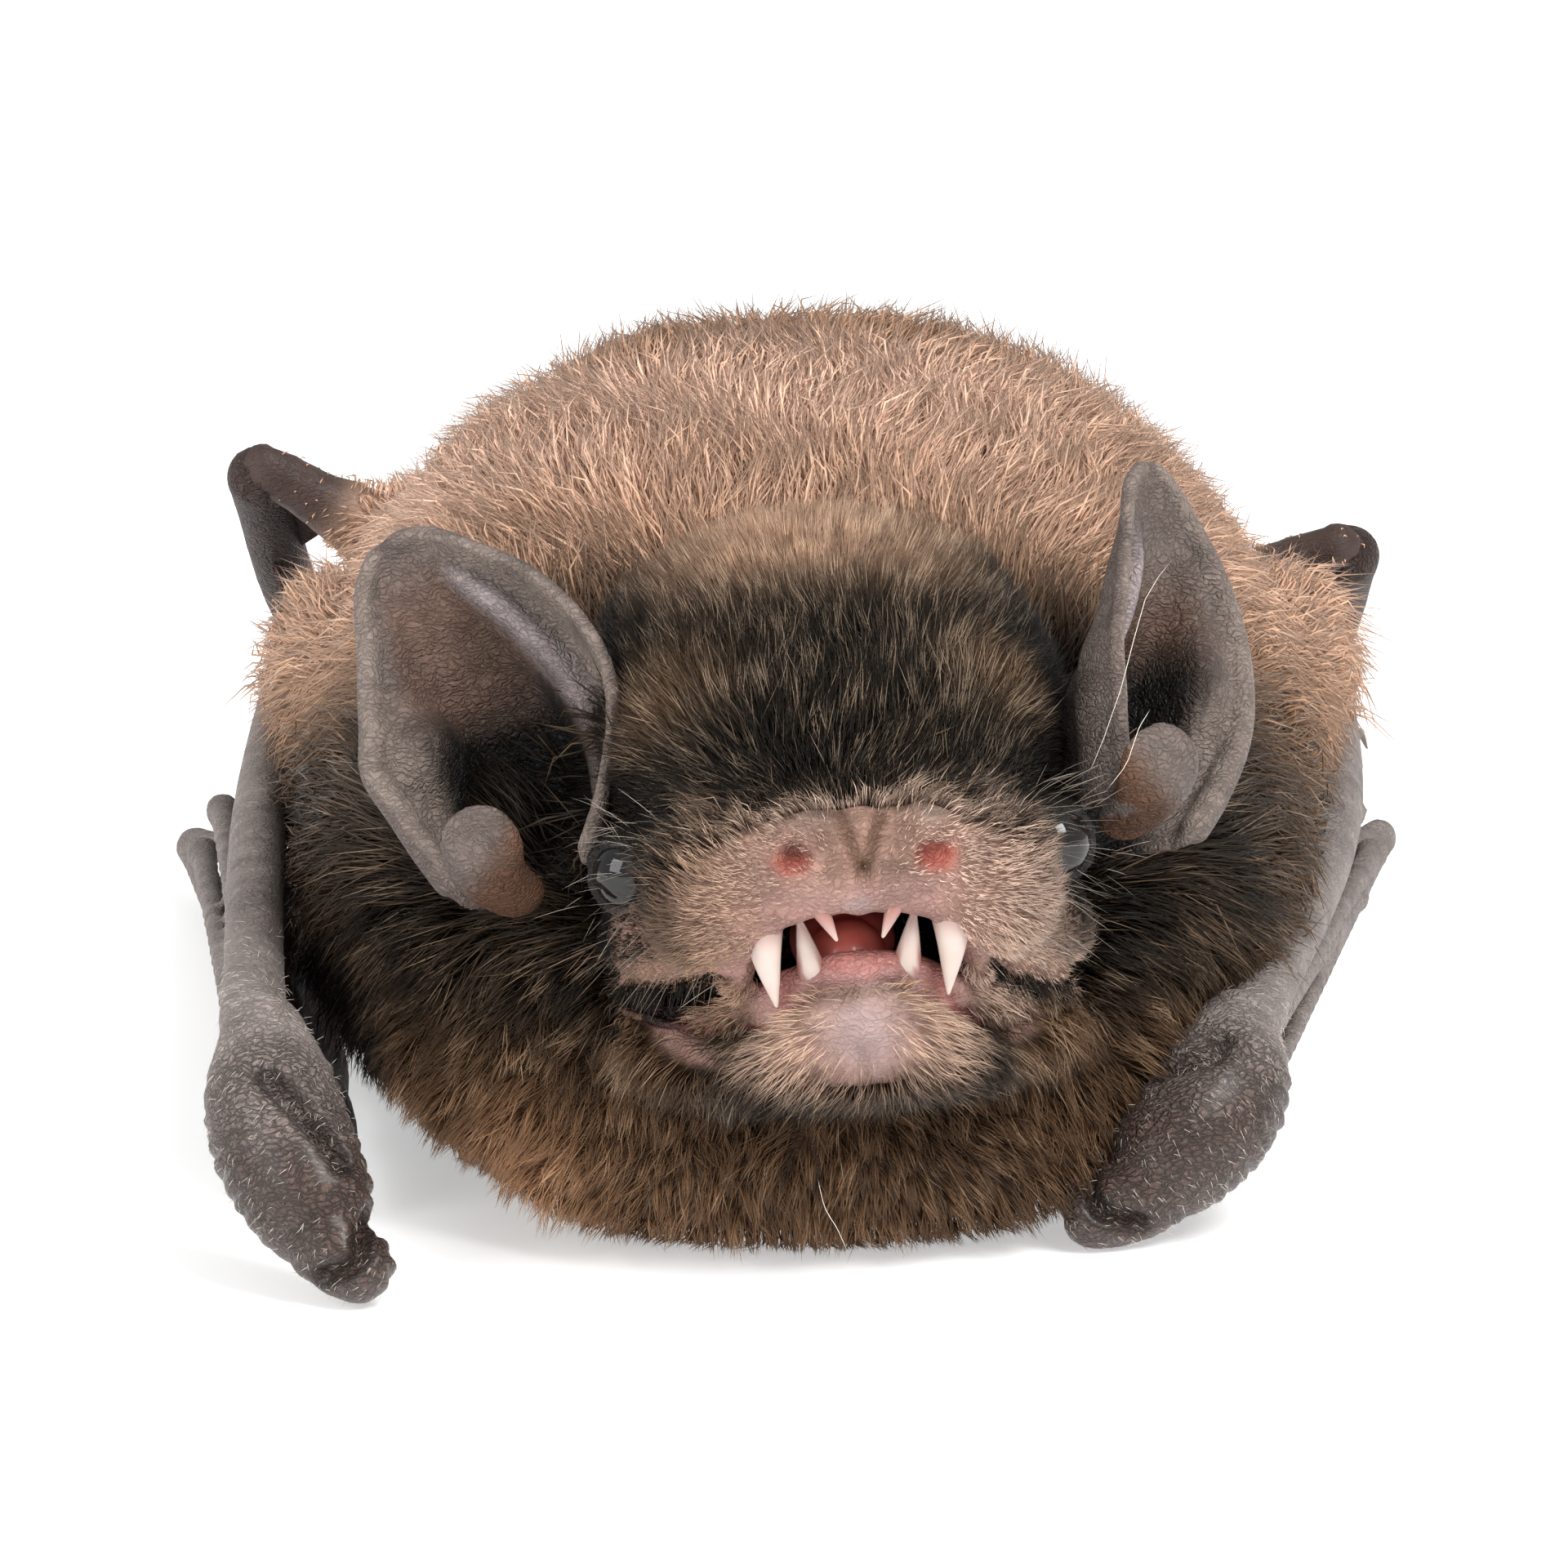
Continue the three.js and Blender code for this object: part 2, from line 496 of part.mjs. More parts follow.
// Earlier pieces keep their whole shape, and later ones are cut back from them by the clearance.
const placed = [];
function add(group, name, build, material) {
  let solid = build(0).subtract(floorBlock);
  for (const other of placed) {
    if (boxesMeet(solid.boundingBox(), other.boundingBox())) solid = solid.subtract(other);
  }
  const largest = solid.decompose().sort((a, b) => b.volume() - a.volume())[0];
  placed.push(build(CUT));
  group.add(toMesh(name, largest, material, group));
}

const sides = [["left", LEFT], ["right", RIGHT]];
const trunkGroup = groupAt([0, 0, 0]);
const armGroup = { [LEFT]: groupAt(ARM[LEFT].shoulder), [RIGHT]: groupAt(ARM[RIGHT].shoulder) };
const legGroup = { [LEFT]: groupAt(LEG[LEFT].hip), [RIGHT]: groupAt(LEG[RIGHT].hip) };

for (const [word, side] of sides) {
  const eye = ball([side * EYE.side, EYE.y, EYE.z], [EYE.radius, EYE.radius, EYE.radius], 8, 5);
  add(headGroup, `${word}_eye`, turned(eye), eyeGloss);
  add(armGroup[side], `${word}_thumb_claw`, thumbClaw(ARM[side]), horn);
}
add(headGroup, "tongue", turned(tongue), tonguePink);
const lowerTeeth = [LEFT, RIGHT].map(lowerCanine);
add(headGroup, "lower_jaw", turned(joined(without(jaw, room(MOUTH_FLOOR)), ...lowerTeeth)), face);
const upperTeeth = [LEFT, RIGHT].flatMap((side) => [upperCanine(side), upperIncisor(side)]);
const upperHead = turned(joined(without(skull, room(PALATE), nostril(LEFT), nostril(RIGHT)), ...upperTeeth));
add(headGroup, "head", without(upperHead, earRoom(LEFT), earRoom(RIGHT)), fur);
for (const [word, side] of sides) {
  add(headGroup, `${word}_tragus`, tragusSolid(side), skin);
  add(headGroup, `${word}_ear`, earSolid(side), skin);
  add(armGroup[side], `${word}_thumb`, thumb(ARM[side]), skin);
  add(armGroup[side], `${word}_hand`, hand(ARM[side]), skin);
  add(armGroup[side], `${word}_forearm`, forearm(ARM[side]), skin);
  add(armGroup[side], `${word}_upper_arm`, upperArm(ARM[side]), fur);
  add(armGroup[side], `${word}_hand_bones`, handBones(ARM[side], side), skin);
  add(armGroup[side], `${word}_finger_tip`, fingerTip(ARM[side]), skin);
  add(legGroup[side], `${word}_foot`, foot(LEG[side], side), skin);
  add(legGroup[side], `${word}_shin`, shin(LEG[side], side), skin);
  add(legGroup[side], `${word}_thigh`, thigh(LEG[side]), fur);
}
add(trunkGroup, "neck", neck, fur);
add(trunkGroup, "trunk", trunk, fur);
add(trunkGroup, "tail", tail, skin);
for (const [word, side] of sides) {
  add(armGroup[side], `${word}_arm_membrane`, armMembrane(ARM[side]), membrane);
  add(armGroup[side], `${word}_side_membrane`, sideMembrane(ARM[side], LEG[side], side), membrane);
  add(legGroup[side], `${word}_tail_membrane`, tailMembrane(side), membrane);
}

export default model;
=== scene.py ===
import json
import math
import bpy
import numpy as np
from mathutils import Euler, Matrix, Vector
from mathutils.kdtree import KDTree

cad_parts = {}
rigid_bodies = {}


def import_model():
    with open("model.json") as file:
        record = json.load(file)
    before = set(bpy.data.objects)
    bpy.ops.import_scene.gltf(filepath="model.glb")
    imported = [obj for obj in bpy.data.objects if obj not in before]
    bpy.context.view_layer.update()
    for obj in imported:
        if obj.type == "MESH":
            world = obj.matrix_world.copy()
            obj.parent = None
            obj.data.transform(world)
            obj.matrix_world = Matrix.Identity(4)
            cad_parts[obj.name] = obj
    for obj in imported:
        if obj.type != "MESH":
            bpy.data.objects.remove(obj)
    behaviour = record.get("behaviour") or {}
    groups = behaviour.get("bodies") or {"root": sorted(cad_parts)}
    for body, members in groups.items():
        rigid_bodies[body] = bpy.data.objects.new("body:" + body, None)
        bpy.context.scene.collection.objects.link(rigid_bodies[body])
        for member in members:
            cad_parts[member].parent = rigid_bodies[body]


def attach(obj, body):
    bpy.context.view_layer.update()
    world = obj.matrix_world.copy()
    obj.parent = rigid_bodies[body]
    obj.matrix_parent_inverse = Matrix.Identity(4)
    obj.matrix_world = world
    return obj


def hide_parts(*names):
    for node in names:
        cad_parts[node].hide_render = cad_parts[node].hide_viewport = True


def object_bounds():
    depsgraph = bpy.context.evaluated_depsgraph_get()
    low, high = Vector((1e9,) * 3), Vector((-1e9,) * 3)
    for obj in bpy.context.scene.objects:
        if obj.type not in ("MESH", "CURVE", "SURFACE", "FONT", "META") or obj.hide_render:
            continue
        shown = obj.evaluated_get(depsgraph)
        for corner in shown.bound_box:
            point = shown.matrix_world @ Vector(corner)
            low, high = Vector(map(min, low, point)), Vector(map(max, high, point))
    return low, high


for leftover in list(bpy.data.objects):  # the startup cube, lamp and camera
    bpy.data.objects.remove(leftover)
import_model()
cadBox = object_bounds()
rng = np.random.default_rng(17)
mm = 0.001  # everything is modelled in millimetres and made metres at the end
outward = {"left": 1, "right": -1}

headPlace = {"at": (0.63, -16.5, 12.0), "roll": -2.3, "yaw": 4.5}  # middle of the braincase
headAngles = (0, math.radians(headPlace["roll"]), math.radians(headPlace["yaw"]))
headTurn, headAt = np.array(Euler(headAngles).to_matrix()), np.array(headPlace["at"])


def fromHead(points):
    return np.asarray(points, float) @ headTurn.T + headAt


def toHead(points):
    return (np.asarray(points, float) - headAt) @ headTurn


def unit(v):
    return v / np.maximum(np.linalg.norm(v, axis=-1, keepdims=True), 1e-9)


def ramp(x, low, high):  # 0 below low, 1 above high, smooth between
    t = np.clip((x - low) / (high - low), 0, 1)
    return t * t * (3 - 2 * t)


def fall(x, low, high):  # 1 below low, 0 above high
    return 1 - ramp(x, low, high)


def bump(points, centre, radii):  # 1 at the centre of an ellipsoid, fading to 0 at its surface
    d = np.linalg.norm((points - np.array(centre)) / np.array(radii), axis=1)
    return fall(d, 0, 1)


def readRows(rows, x):  # a smooth curve through rows of [position, value, value, ...]
    rows = np.array(rows, float)
    pos = rows[:, 0]
    order = np.arange(len(pos))
    before, after = np.maximum(order - 1, 0), np.minimum(order + 1, len(pos) - 1)
    slope = (rows[after] - rows[before]) / (pos[after] - pos[before])[:, None]
    x = np.clip(x, pos[0], pos[-1])
    i = np.clip(np.searchsorted(pos, x, side="right") - 1, 0, len(pos) - 2)
    span = (pos[i + 1] - pos[i])[:, None]
    t = (x - pos[i])[:, None] / span
    value = (2 * t**3 - 3 * t**2 + 1) * rows[i] + (t**3 - 2 * t**2 + t) * span * slope[i]
    value += (3 * t**2 - 2 * t**3) * rows[i + 1] + (t**3 - t**2) * span * slope[i + 1]
    return value[:, 1:]


def curveThrough(points, samples=24):
    p = np.array(points, float)
    p = np.vstack([2 * p[0] - p[1], p, 2 * p[-1] - p[-2]])
    gap = np.sqrt(np.linalg.norm(np.diff(p, axis=0), axis=1))
    t = np.linspace(0, 1, samples, endpoint=False)[:, None]
    path = []
    for i in range(1, len(p) - 2):
        a, b, c = gap[i - 1], gap[i], gap[i + 1]
        start = ((p[i] - p[i - 1]) / a - (p[i + 1] - p[i - 1]) / (a + b) + (p[i + 1] - p[i]) / b) * b
        end = ((p[i + 1] - p[i]) / b - (p[i + 2] - p[i]) / (b + c) + (p[i + 2] - p[i + 1]) / c) * b
        path.append((2 * t**3 - 3 * t**2 + 1) * p[i] + (t**3 - 2 * t**2 + t) * start
                    + (3 * t**2 - 2 * t**3) * p[i + 1] + (t**3 - t**2) * end)
    path = np.vstack(path + [p[-2:-1]])
    return path, np.r_[0, np.cumsum(np.linalg.norm(np.diff(path, axis=0), axis=1))]


def readCurve(curve, share):  # places and directions at shares of its length
    path, length = curve

    def at(s):
        return np.stack([np.interp(s, length, path[:, k]) for k in range(3)], -1)

    s = np.clip(share, 0, 1) * length[-1]
    step = length[-1] * 0.01
    return at(s), unit(at(np.minimum(s + step, length[-1])) - at(np.maximum(s - step, 0)))


def roundEnd(distance, length):
    return np.sqrt(1 - (1 - np.clip(distance / length, 0, 1)) ** 2)


def deselectAll():
    if bpy.context.object and bpy.context.object.mode != "OBJECT":
        bpy.ops.object.mode_set(mode="OBJECT")
    bpy.ops.object.select_all(action="DESELECT")


def activate(*objs):
    deselectAll()
    for obj in objs:
        obj.select_set(True)
    bpy.context.view_layer.objects.active = objs[0]
    return objs[0]


def coordsOf(obj):
    co = np.empty(len(obj.data.vertices) * 3, np.float32)
    obj.data.vertices.foreach_get("co", co)
    return co.reshape(-1, 3).astype(float)


def normalsOf(obj):
    n = np.empty(len(obj.data.vertices) * 3, np.float32)
    obj.data.vertex_normals.foreach_get("vector", n)
    return n.reshape(-1, 3).astype(float)


def setCoords(obj, co):
    obj.data.vertices.foreach_set("co", np.asarray(co, np.float32).ravel())
    obj.data.update()
    return obj


def applyModifier(obj, kind, **settings):
    activate(obj)
    modifier = obj.modifiers.new(kind.title(), kind)
    for key, value in settings.items():
        setattr(modifier, key, value)
    bpy.ops.object.modifier_apply(modifier=modifier.name)
    return obj


def newBall(name, segments, rings):
    deselectAll()
    bpy.ops.mesh.primitive_uv_sphere_add(segments=segments, ring_count=rings, radius=1)
    obj = bpy.context.object
    obj.name = name
    return obj


def blob(name, centre, radii, turn=(0, 0, 0), detail=20):
    obj = newBall(name, detail, detail // 2 + 2)
    co = coordsOf(obj) * np.array(radii)
    turning = np.array(Euler([math.radians(a) for a in turn]).to_matrix())
    return setCoords(obj, co @ turning.T + np.array(centre))


def loft(name, rows, sides, rings, front, back, square=2.0):  # rows of y, half width, top, bottom, widest z
    obj = newBall(name, sides, rings)
    co = coordsOf(obj)
    t = (1 - co[:, 2]) / 2
    angle = np.arctan2(co[:, 1], co[:, 0])
    y = rows[0][0] + (rows[-1][0] - rows[0][0]) * t
    end = roundEnd(y - rows[0][0], front) * roundEnd(rows[-1][0] - y, back)
    half, top, bottom, mid = readRows(rows, y).T
    c, s = np.cos(angle), np.sin(angle)
    c, s = np.sign(c) * np.abs(c) ** (2 / square), np.sign(s) * np.abs(s) ** (2 / square)
    z = mid + s * np.where(s > 0, top - mid, mid - bottom) * end
    return setCoords(obj, np.stack([c * half * end, y, z], -1))


def even(radius):  # the rows of a tube that is equally thick all along
    return [[0, radius, radius], [1, radius, radius]]


def tube(name, points, rows, sides=20, rings=30, up=(0, 0, 1)):  # rows of share, radius across, radius up
    obj = newBall(name, sides, rings)
    co = coordsOf(obj)
    t = (1 - co[:, 2]) / 2
    angle = np.arctan2(co[:, 1], co[:, 0])
    curve = curveThrough(points)
    place, along = readCurve(curve, t)
    across = unit(np.cross(along, np.array(up, float)))
    upward = np.cross(across, along)
    radii = readRows(rows, t)
    end = roundEnd(t * curve[1][-1], rows[0][1]) * roundEnd((1 - t) * curve[1][-1], rows[-1][1])
    co = place + across * (np.cos(angle) * radii[:, 0] * end)[:, None]
    return setCoords(obj, co + upward * (np.sin(angle) * radii[:, 1] * end)[:, None])


def sheet(name, middle, columns, rows, thickness):  # a thin wall about a middle surface, u and v from 0 to 1
    deselectAll()
    bpy.ops.mesh.primitive_grid_add(x_subdivisions=columns, y_subdivisions=rows, size=1)
    obj = bpy.context.object
    obj.name = name
    co = coordsOf(obj)
    setCoords(obj, middle(co[:, 0] + 0.5, co[:, 1] + 0.5))
    return applyModifier(obj, "SOLIDIFY", thickness=thickness, offset=0)


def joinAll(name, objs):
    obj = activate(*objs)
    bpy.ops.object.join()
    obj.name = name
    return obj


def remesh(obj, voxel, smooth=0):
    applyModifier(obj, "REMESH", mode="VOXEL", voxel_size=voxel, adaptivity=0)
    if smooth:
        applyModifier(obj, "SMOOTH", factor=0.5, iterations=smooth)
    return obj


def cutAway(obj, tools):
    for tool in tools:
        applyModifier(obj, "BOOLEAN", operation="DIFFERENCE", solver="MANIFOLD", object=tool)
        bpy.data.objects.remove(tool)
    return obj


def moveToWorld(obj):  # a head piece goes from the head's own axes to the bat's
    return setCoords(obj, fromHead(coordsOf(obj)))


print("stage: head")
head = {
    "skull": [
        [-10.95, 2.9, 0.3, -1.75, -0.6], [-10.0, 3.75, 0.62, -2.6, -0.9], [-8.8, 4.25, 0.3, -3.6, -1.3],
        [-7.4, 4.75, 0.45, -4.4, -1.7], [-6.0, 5.0, 1.6, -4.9, -2.0], [-4.6, 5.15, 3.0, -5.1, -2.2],
        [-2.6, 5.3, 4.3, -5.3, -2.0], [0, 5.6, 5.0, -5.5, -1.5], [4, 5.8, 5.1, -5.5, -0.6]],
    "jaw": [
        [-10.3, 1.7, -3.25, -5.6, -4.3], [-9.4, 2.2, -3.7, -6.3, -4.9], [-8.3, 2.8, -4.5, -6.6, -5.6],
        [-6.8, 4.1, -5.0, -6.9, -5.9], [-5.2, 5.2, -5.1, -7.1, -6.1], [-2.5, 5.4, -5.1, -7.3, -6.3]],
    "upperLip": [
        (-5.6, -5.4, -4.4), (-4.8, -6.6, -4.15), (-4.05, -7.6, -3.88), (-3.45, -8.3, -3.5),
        (-2.8, -8.95, -3.0),
        (-2.1, -9.6, -2.35), (-1.4, -10.3, -1.65), (0, -10.7, -1.4), (1.4, -10.35, -1.65), (2.1, -9.65, -2.4),
        (2.8, -8.95, -3.2), (3.35, -8.25, -3.95), (4.05, -7.3, -4.5), (4.8, -6.3, -4.9), (5.4, -5.4, -5.05)],
    "lowerLip": [
        (-5.6, -5.2, -5.05), (-4.85, -6.2, -5.1), (-4.1, -7.0, -5.12), (-3.2, -8.15, -4.85),
        (-2.3, -9.1, -4.55), (-1.2, -9.8, -3.65), (0, -10.0, -3.42), (1.2, -9.8, -3.65), (2.2, -9.15, -4.55),
        (2.95, -8.35, -5.05), (3.75, -7.3, -5.2), (4.7, -6.3, -5.3), (5.4, -5.4, -5.35)],
    "upperGum": [
        (-4.0, -7.3, -3.5), (-3.0, -8.8, -2.75), (-2.1, -9.55, -1.95), (-1.0, -10.1, -1.5),
        (1.0, -10.1, -1.5), (2.1, -9.55, -1.95), (3.0, -8.8, -2.85), (4.0, -7.3, -3.7)],
    "lowerGum": [
        (-3.7, -7.1, -5.0), (-2.5, -8.6, -4.35), (-1.3, -9.3, -3.65), (0, -9.6, -3.35),
        (1.3, -9.3, -3.65), (2.5, -8.6, -4.4), (3.7, -7.1, -5.1)],
    "lipRim": [[0, 0.13, 0.13], [0.25, 0.16, 0.16], [0.5, 0.26, 0.26], [0.75, 0.16, 0.16], [1, 0.13, 0.13]],
    "grooves": [  # line, width and depth of each groove on the front of the face
        ([(-0.28, -10.8, 0.5), (-0.1, -10.8, -0.05), (0.12, -10.8, -0.75)], 0.16, 0.18),
        ([(0.66, -10.8, 0.42), (0.46, -10.8, -0.1), (0.2, -10.8, -0.75)], 0.16, 0.18),
        ([(0.17, -10.8, -0.7), (0.12, -10.8, -1.3)], 0.15, 0.08),
        ([(-1.3, -10.2, -3.85), (0, -10.5, -3.75), (1.3, -10.2, -3.85)], 0.14, 0.12),
        ([(-0.15, -10.2, -5.3), (-0.05, -9.9, -6.2)], 0.15, 0.14)],
    "mouth": {"front": -13.0, "back": -4.2, "narrow": 0.8, "level": -3.6},  # the wedge cut between the lips
    "eye": (5.12, -5.32, -1.62), "looking": (0.62, -0.78, 0.05), "eyeball": 0.97,  # of the left eye
    "lidRing": 0.8, "lidOut": 0.67, "pressed": 0.78, "opening": 48,
    "roughVoxel": 0.16, "voxel": 0.12,
}


def eyeSocket(side):  # the eyeball's middle, and the way it looks out between its lids
    mirror = np.array((side, 1, 1))
    return mirror * head["eye"], unit(mirror * head["looking"])


def mouthWedge():  # the open mouth, between the two lips, narrowing backwards
    upper, lower, wedge = curveThrough(head["upperLip"]), curveThrough(head["lowerLip"]), head["mouth"]
    deselectAll()
    bpy.ops.mesh.primitive_cylinder_add(vertices=48, radius=1, depth=2)
    obj = bpy.context.object
    co = coordsOf(obj)
    angle = np.arctan2(co[:, 1], co[:, 0])
    share = 0.5 + 0.5 * np.cos(angle)
    lips = np.where((angle > 0)[:, None], readCurve(upper, share)[0], readCurve(lower, share)[0])
    isFront = co[:, 2] > 0
    x = np.where(isFront, lips[:, 0], lips[:, 0] * wedge["narrow"])
    z = np.where(isFront, lips[:, 2], wedge["level"] + (lips[:, 2] - wedge["level"]) * wedge["narrow"])
    return setCoords(obj, np.stack([x, np.where(isFront, wedge["front"], wedge["back"]), z], -1))


def mouthTube(name, points, rows, sides=12, rings=60):
    return tube(name, points, rows, sides, rings, (0, 1, 0.2))


def buildHead():
    parts = [
        loft("skull", head["skull"], 48, 40, 1.1, 3, 2.15),
        loft("jaw", head["jaw"], 40, 30, 1.1, 2.5, 2.2),
    ]
    for side in (-1, 1):
        parts += [
            blob("cheek", (side * 4.3, -3.6, -5.2), (1.0, 2.5, 1.7)),
            blob("muzzlePad", (side * 3.05, -8.9, -1.75), (1.75, 1.6, 1.7)),
            blob("nostrilPad", (side * 1.4 + 0.3, -10.2, 0.27), (0.75, 0.7, 0.38), (0, side * 8, 0)),
            blob("nostrilWing", (side * 1.78 + 0.2, -10.35, -0.85), (0.8, 0.5, 0.42)),
            blob("orbit", eyeSocket(side)[0], (1.12, 1.12, 1.12)),
            blob("cheekPad", (side * 4.5, -4.9, -3.35 - (side > 0) * 0.4), (1.35, 1.9, 1.2)),
        ]
    for fold in (head["upperLip"][:6], head["upperLip"][:8:-1]):
        middle = np.array(fold) * (0.97, 0.98, 1) + (0, 0.1, 0.6)
        parts.append(tube("lipFold", middle, [[0, 0.5, 0.45], [0.3, 0.62, 0.6], [1, 0.5, 0.55]], 16, 40))
    parts += [
        blob("philtrum", (0.15, -10.35, -0.9), (1.5, 0.55, 0.85)),
        blob("noseBridge", (0.1, -10.1, 0.15), (1.1, 0.7, 0.5)),
        blob("chinPad", (0, -9.35, -4.9), (1.75, 1.0, 1.45)),
    ]
    skull = remesh(joinAll("skull", parts), head["roughVoxel"], 4)
    tools = [mouthWedge(), blob("cavity", (0, -6.6, -4.05), (3.3, 2.5, 1.5))]
    for side in (-1, 1):
        place, turn = (side * 1.74 + 0.2, -10.95, -0.4 - side * 0.08), (0, side * -8, side * 20)
        tools.append(blob("nostril", place, (0.5, 0.75, 0.38), turn))
    cutAway(skull, tools)
    inner = np.array((0, 0.18, 0.06))
    parts = [
        mouthTube("upperLip", np.array(head["upperLip"]) + inner, head["lipRim"], rings=90),
        mouthTube("lowerLip", np.array(head["lowerLip"]) + inner * (1, 1, -1), head["lipRim"], rings=90),
        blob("gumStrip", (0.08, -10.4, -1.74), (0.5, 0.28, 0.2)),
        mouthTube("upperGum", head["upperGum"], even(0.5)),
        mouthTube("lowerGum", head["lowerGum"], even(0.42)),
    ]
    for side in (-1, 1):
        parts.append(blob("innerLip", (side * 2.75, -8.9, -3.1), (0.36, 0.7, 0.95), (0, side * -14, 0)))
        eye, out = eyeSocket(side)
        level = unit(np.cross(out, (0, 0, 1.0)))
        high = np.cross(level, out)
        ring = [(level * np.cos(a) + high * np.sin(a)) * head["lidRing"]
                for a in np.linspace(0, 2 * np.pi, 17)]
        lid = [eye + out * head["lidOut"] + spoke for spoke in ring]
        parts.append(tube("lid", lid, even(0.1), 10, 60, tuple(out)))
    obj = remesh(joinAll("headSkin", [skull] + parts), head["voxel"], 2)
    return sculptHead(obj)


def groove(co, normals, path, width, depth, seen=(1, 1, 1)):  # presses a soft line into the surface
    line = readCurve(curveThrough(path), np.linspace(0, 1, 40))[0]
    d = np.min(np.linalg.norm((co[:, None] - line[None]) * seen, axis=2), axis=1)
    return co - normals * (np.exp(-((d / width) ** 2)) * depth)[:, None]


def sculptHead(obj):
    co, n = coordsOf(obj), normalsOf(obj)
    face = co[:, 1] < -8.2
    part, normals = co[face], n[face]
    for path, width, depth in head["grooves"]:
        part = groove(part, normals, path, width, depth, (1, 0.15, 1))
    co[face] = part
    closed, opened = (math.cos(math.radians(head["opening"] + spare)) for spare in (3, -2))
    for side in (-1, 1):  # opens the lids over the eyeball
        eye, out = eyeSocket(side)
        away = co - eye
        reach = np.linalg.norm(away, axis=1)
        press = ramp(away @ out / reach, closed, opened) * (reach < 1.5)
        co -= away * (press * np.clip(1 - head["pressed"] / reach, 0, None))[:, None]
    wave = np.sin(co @ np.array((5.1, 3.7, 4.3))) * np.sin(co @ np.array((-3.9, 4.6, 3.1)))
    co += n * (wave * 0.025)[:, None]
    return moveToWorld(setCoords(obj, co))


headSkin = buildHead()

print("stage: ears")
ears = {
    "right": {"base": (-7.75, -3.35, -2.1), "belly": (-8.35, -1.2, 2.1), "tip": (-10.35, 1.75, 5.5),
              "open": (-0.42, -0.82, 0.38), "width": 6.75, "brownEnd": 0.82,
              "tragus": [(-7.5, -2.4, -2.9), (-8.6, -3.8, -1.55), (-8.6, -4.1, 0.1)]},
    "left": {"base": (7.85, -3.9, -1.6), "belly": (8.95, -0.95, 2.2), "tip": (8.55, 1.0, 6.25),
             "open": (0.76, -0.62, 0.18), "width": 5.5, "brownEnd": 0.62,
             "tragus": [(6.8, -3.4, -1.9), (7.75, -5.0, -0.45), (8.05, -5.1, 1.1)]},
    "widths": [[0, 0.52], [0.2, 0.78], [0.42, 0.98], [0.66, 0.8], [0.84, 0.52], [0.95, 0.32], [1, 0.1]],
    "rolls": [[0, 4.0], [0.25, 3.1], [0.55, 2.2], [1, 1.1]],
    "rim": [[0, 0.22, 0.22], [0.4, 0.2, 0.2], [0.6, 0.26, 0.26], [0.8, 0.36, 0.36], [1, 0.4, 0.4]],
    "tragusRows": [[0, 0.6, 0.5], [0.35, 0.85, 0.36], [0.72, 1.06, 0.32], [1, 0.8, 0.26]],
    "wall": 0.26, "voxel": 0.12,
}


def earSurface(side):  # lateral runs from the edge by the crown, 0, to the outer edge, 1
    ear = ears[side]
    out, back = outward[side], -np.array(ear["open"])
    spine = curveThrough([ear["base"], ear["belly"], ear["tip"]])

    def middle(lateral, v):
        place, along = readCurve(spine, v)
        across = unit(np.cross(along, back))
        depth = np.cross(across, along)
        depth *= np.sign(np.sum(depth * back, axis=1))[:, None]
        across *= np.where(np.sign(across[:, :1]) == out, 1, -1)
        roll = readRows(ears["rolls"], v)[:, 0]
        radius = ear["width"] * readRows(ears["widths"], v)[:, 0] / (2 * np.sin(np.minimum(roll, np.pi) / 2))
        turn = (lateral - 0.5) * roll
        body = ramp(v, 0.04, 0.25) * fall(v, 0.7, 0.95)
        ridge = 0.5 * np.exp(-(((lateral - 0.27) / 0.05) ** 2)) * body
        valley = 0.35 * np.exp(-(((lateral - 0.14) / 0.07) ** 2)) * body
        bowl = ramp(lateral, 0.3, 0.45) * fall(lateral, 0.7, 0.9) * fall(v, 0.45, 0.85)
        ribs = (0.045 * np.sin(v * 70) * ramp(lateral, 0.35, 0.5) * fall(lateral, 0.75, 0.85)
                * ramp(v, 0.25, 0.4))
        fold = np.exp(-(((lateral - 0.84) / 0.08) ** 2) - ((v - 0.46) / 0.13) ** 2)
        rise = valley + bowl + ribs - ridge - 0.9 * fold
        place = place + across * (radius * np.sin(turn) - fold)[:, None]
        return place + depth * (radius * np.cos(turn) - radius * np.cos(roll / 2) + rise)[:, None]

    return middle


def buildEar(side):
    middle = earSurface(side)
    wall = sheet("earWall", middle, 80, 90, ears["wall"])
    v = np.concatenate([np.linspace(0.02, 1, 24), np.full(5, 1.0), np.linspace(1, 0.02, 24)])
    u = np.concatenate([np.zeros(24), np.linspace(0.15, 0.85, 5), np.ones(24)])
    edge = middle(u, v)
    edge = edge[np.r_[True, np.linalg.norm(np.diff(edge, axis=0), axis=1) > 0.05]]
    rim = tube("rim", edge, ears["rim"], 12, 140, (0.3, 1, 0.2))
    facing = (0.3 * outward[side], -1, 0)
    tragus = tube("tragus", ears[side]["tragus"], ears["tragusRows"], 24, 40, facing)
    return moveToWorld(remesh(joinAll(side + "Ear", [wall, rim, tragus]), ears["voxel"], 1))


earSkins = [buildEar("left"), buildEar("right")]

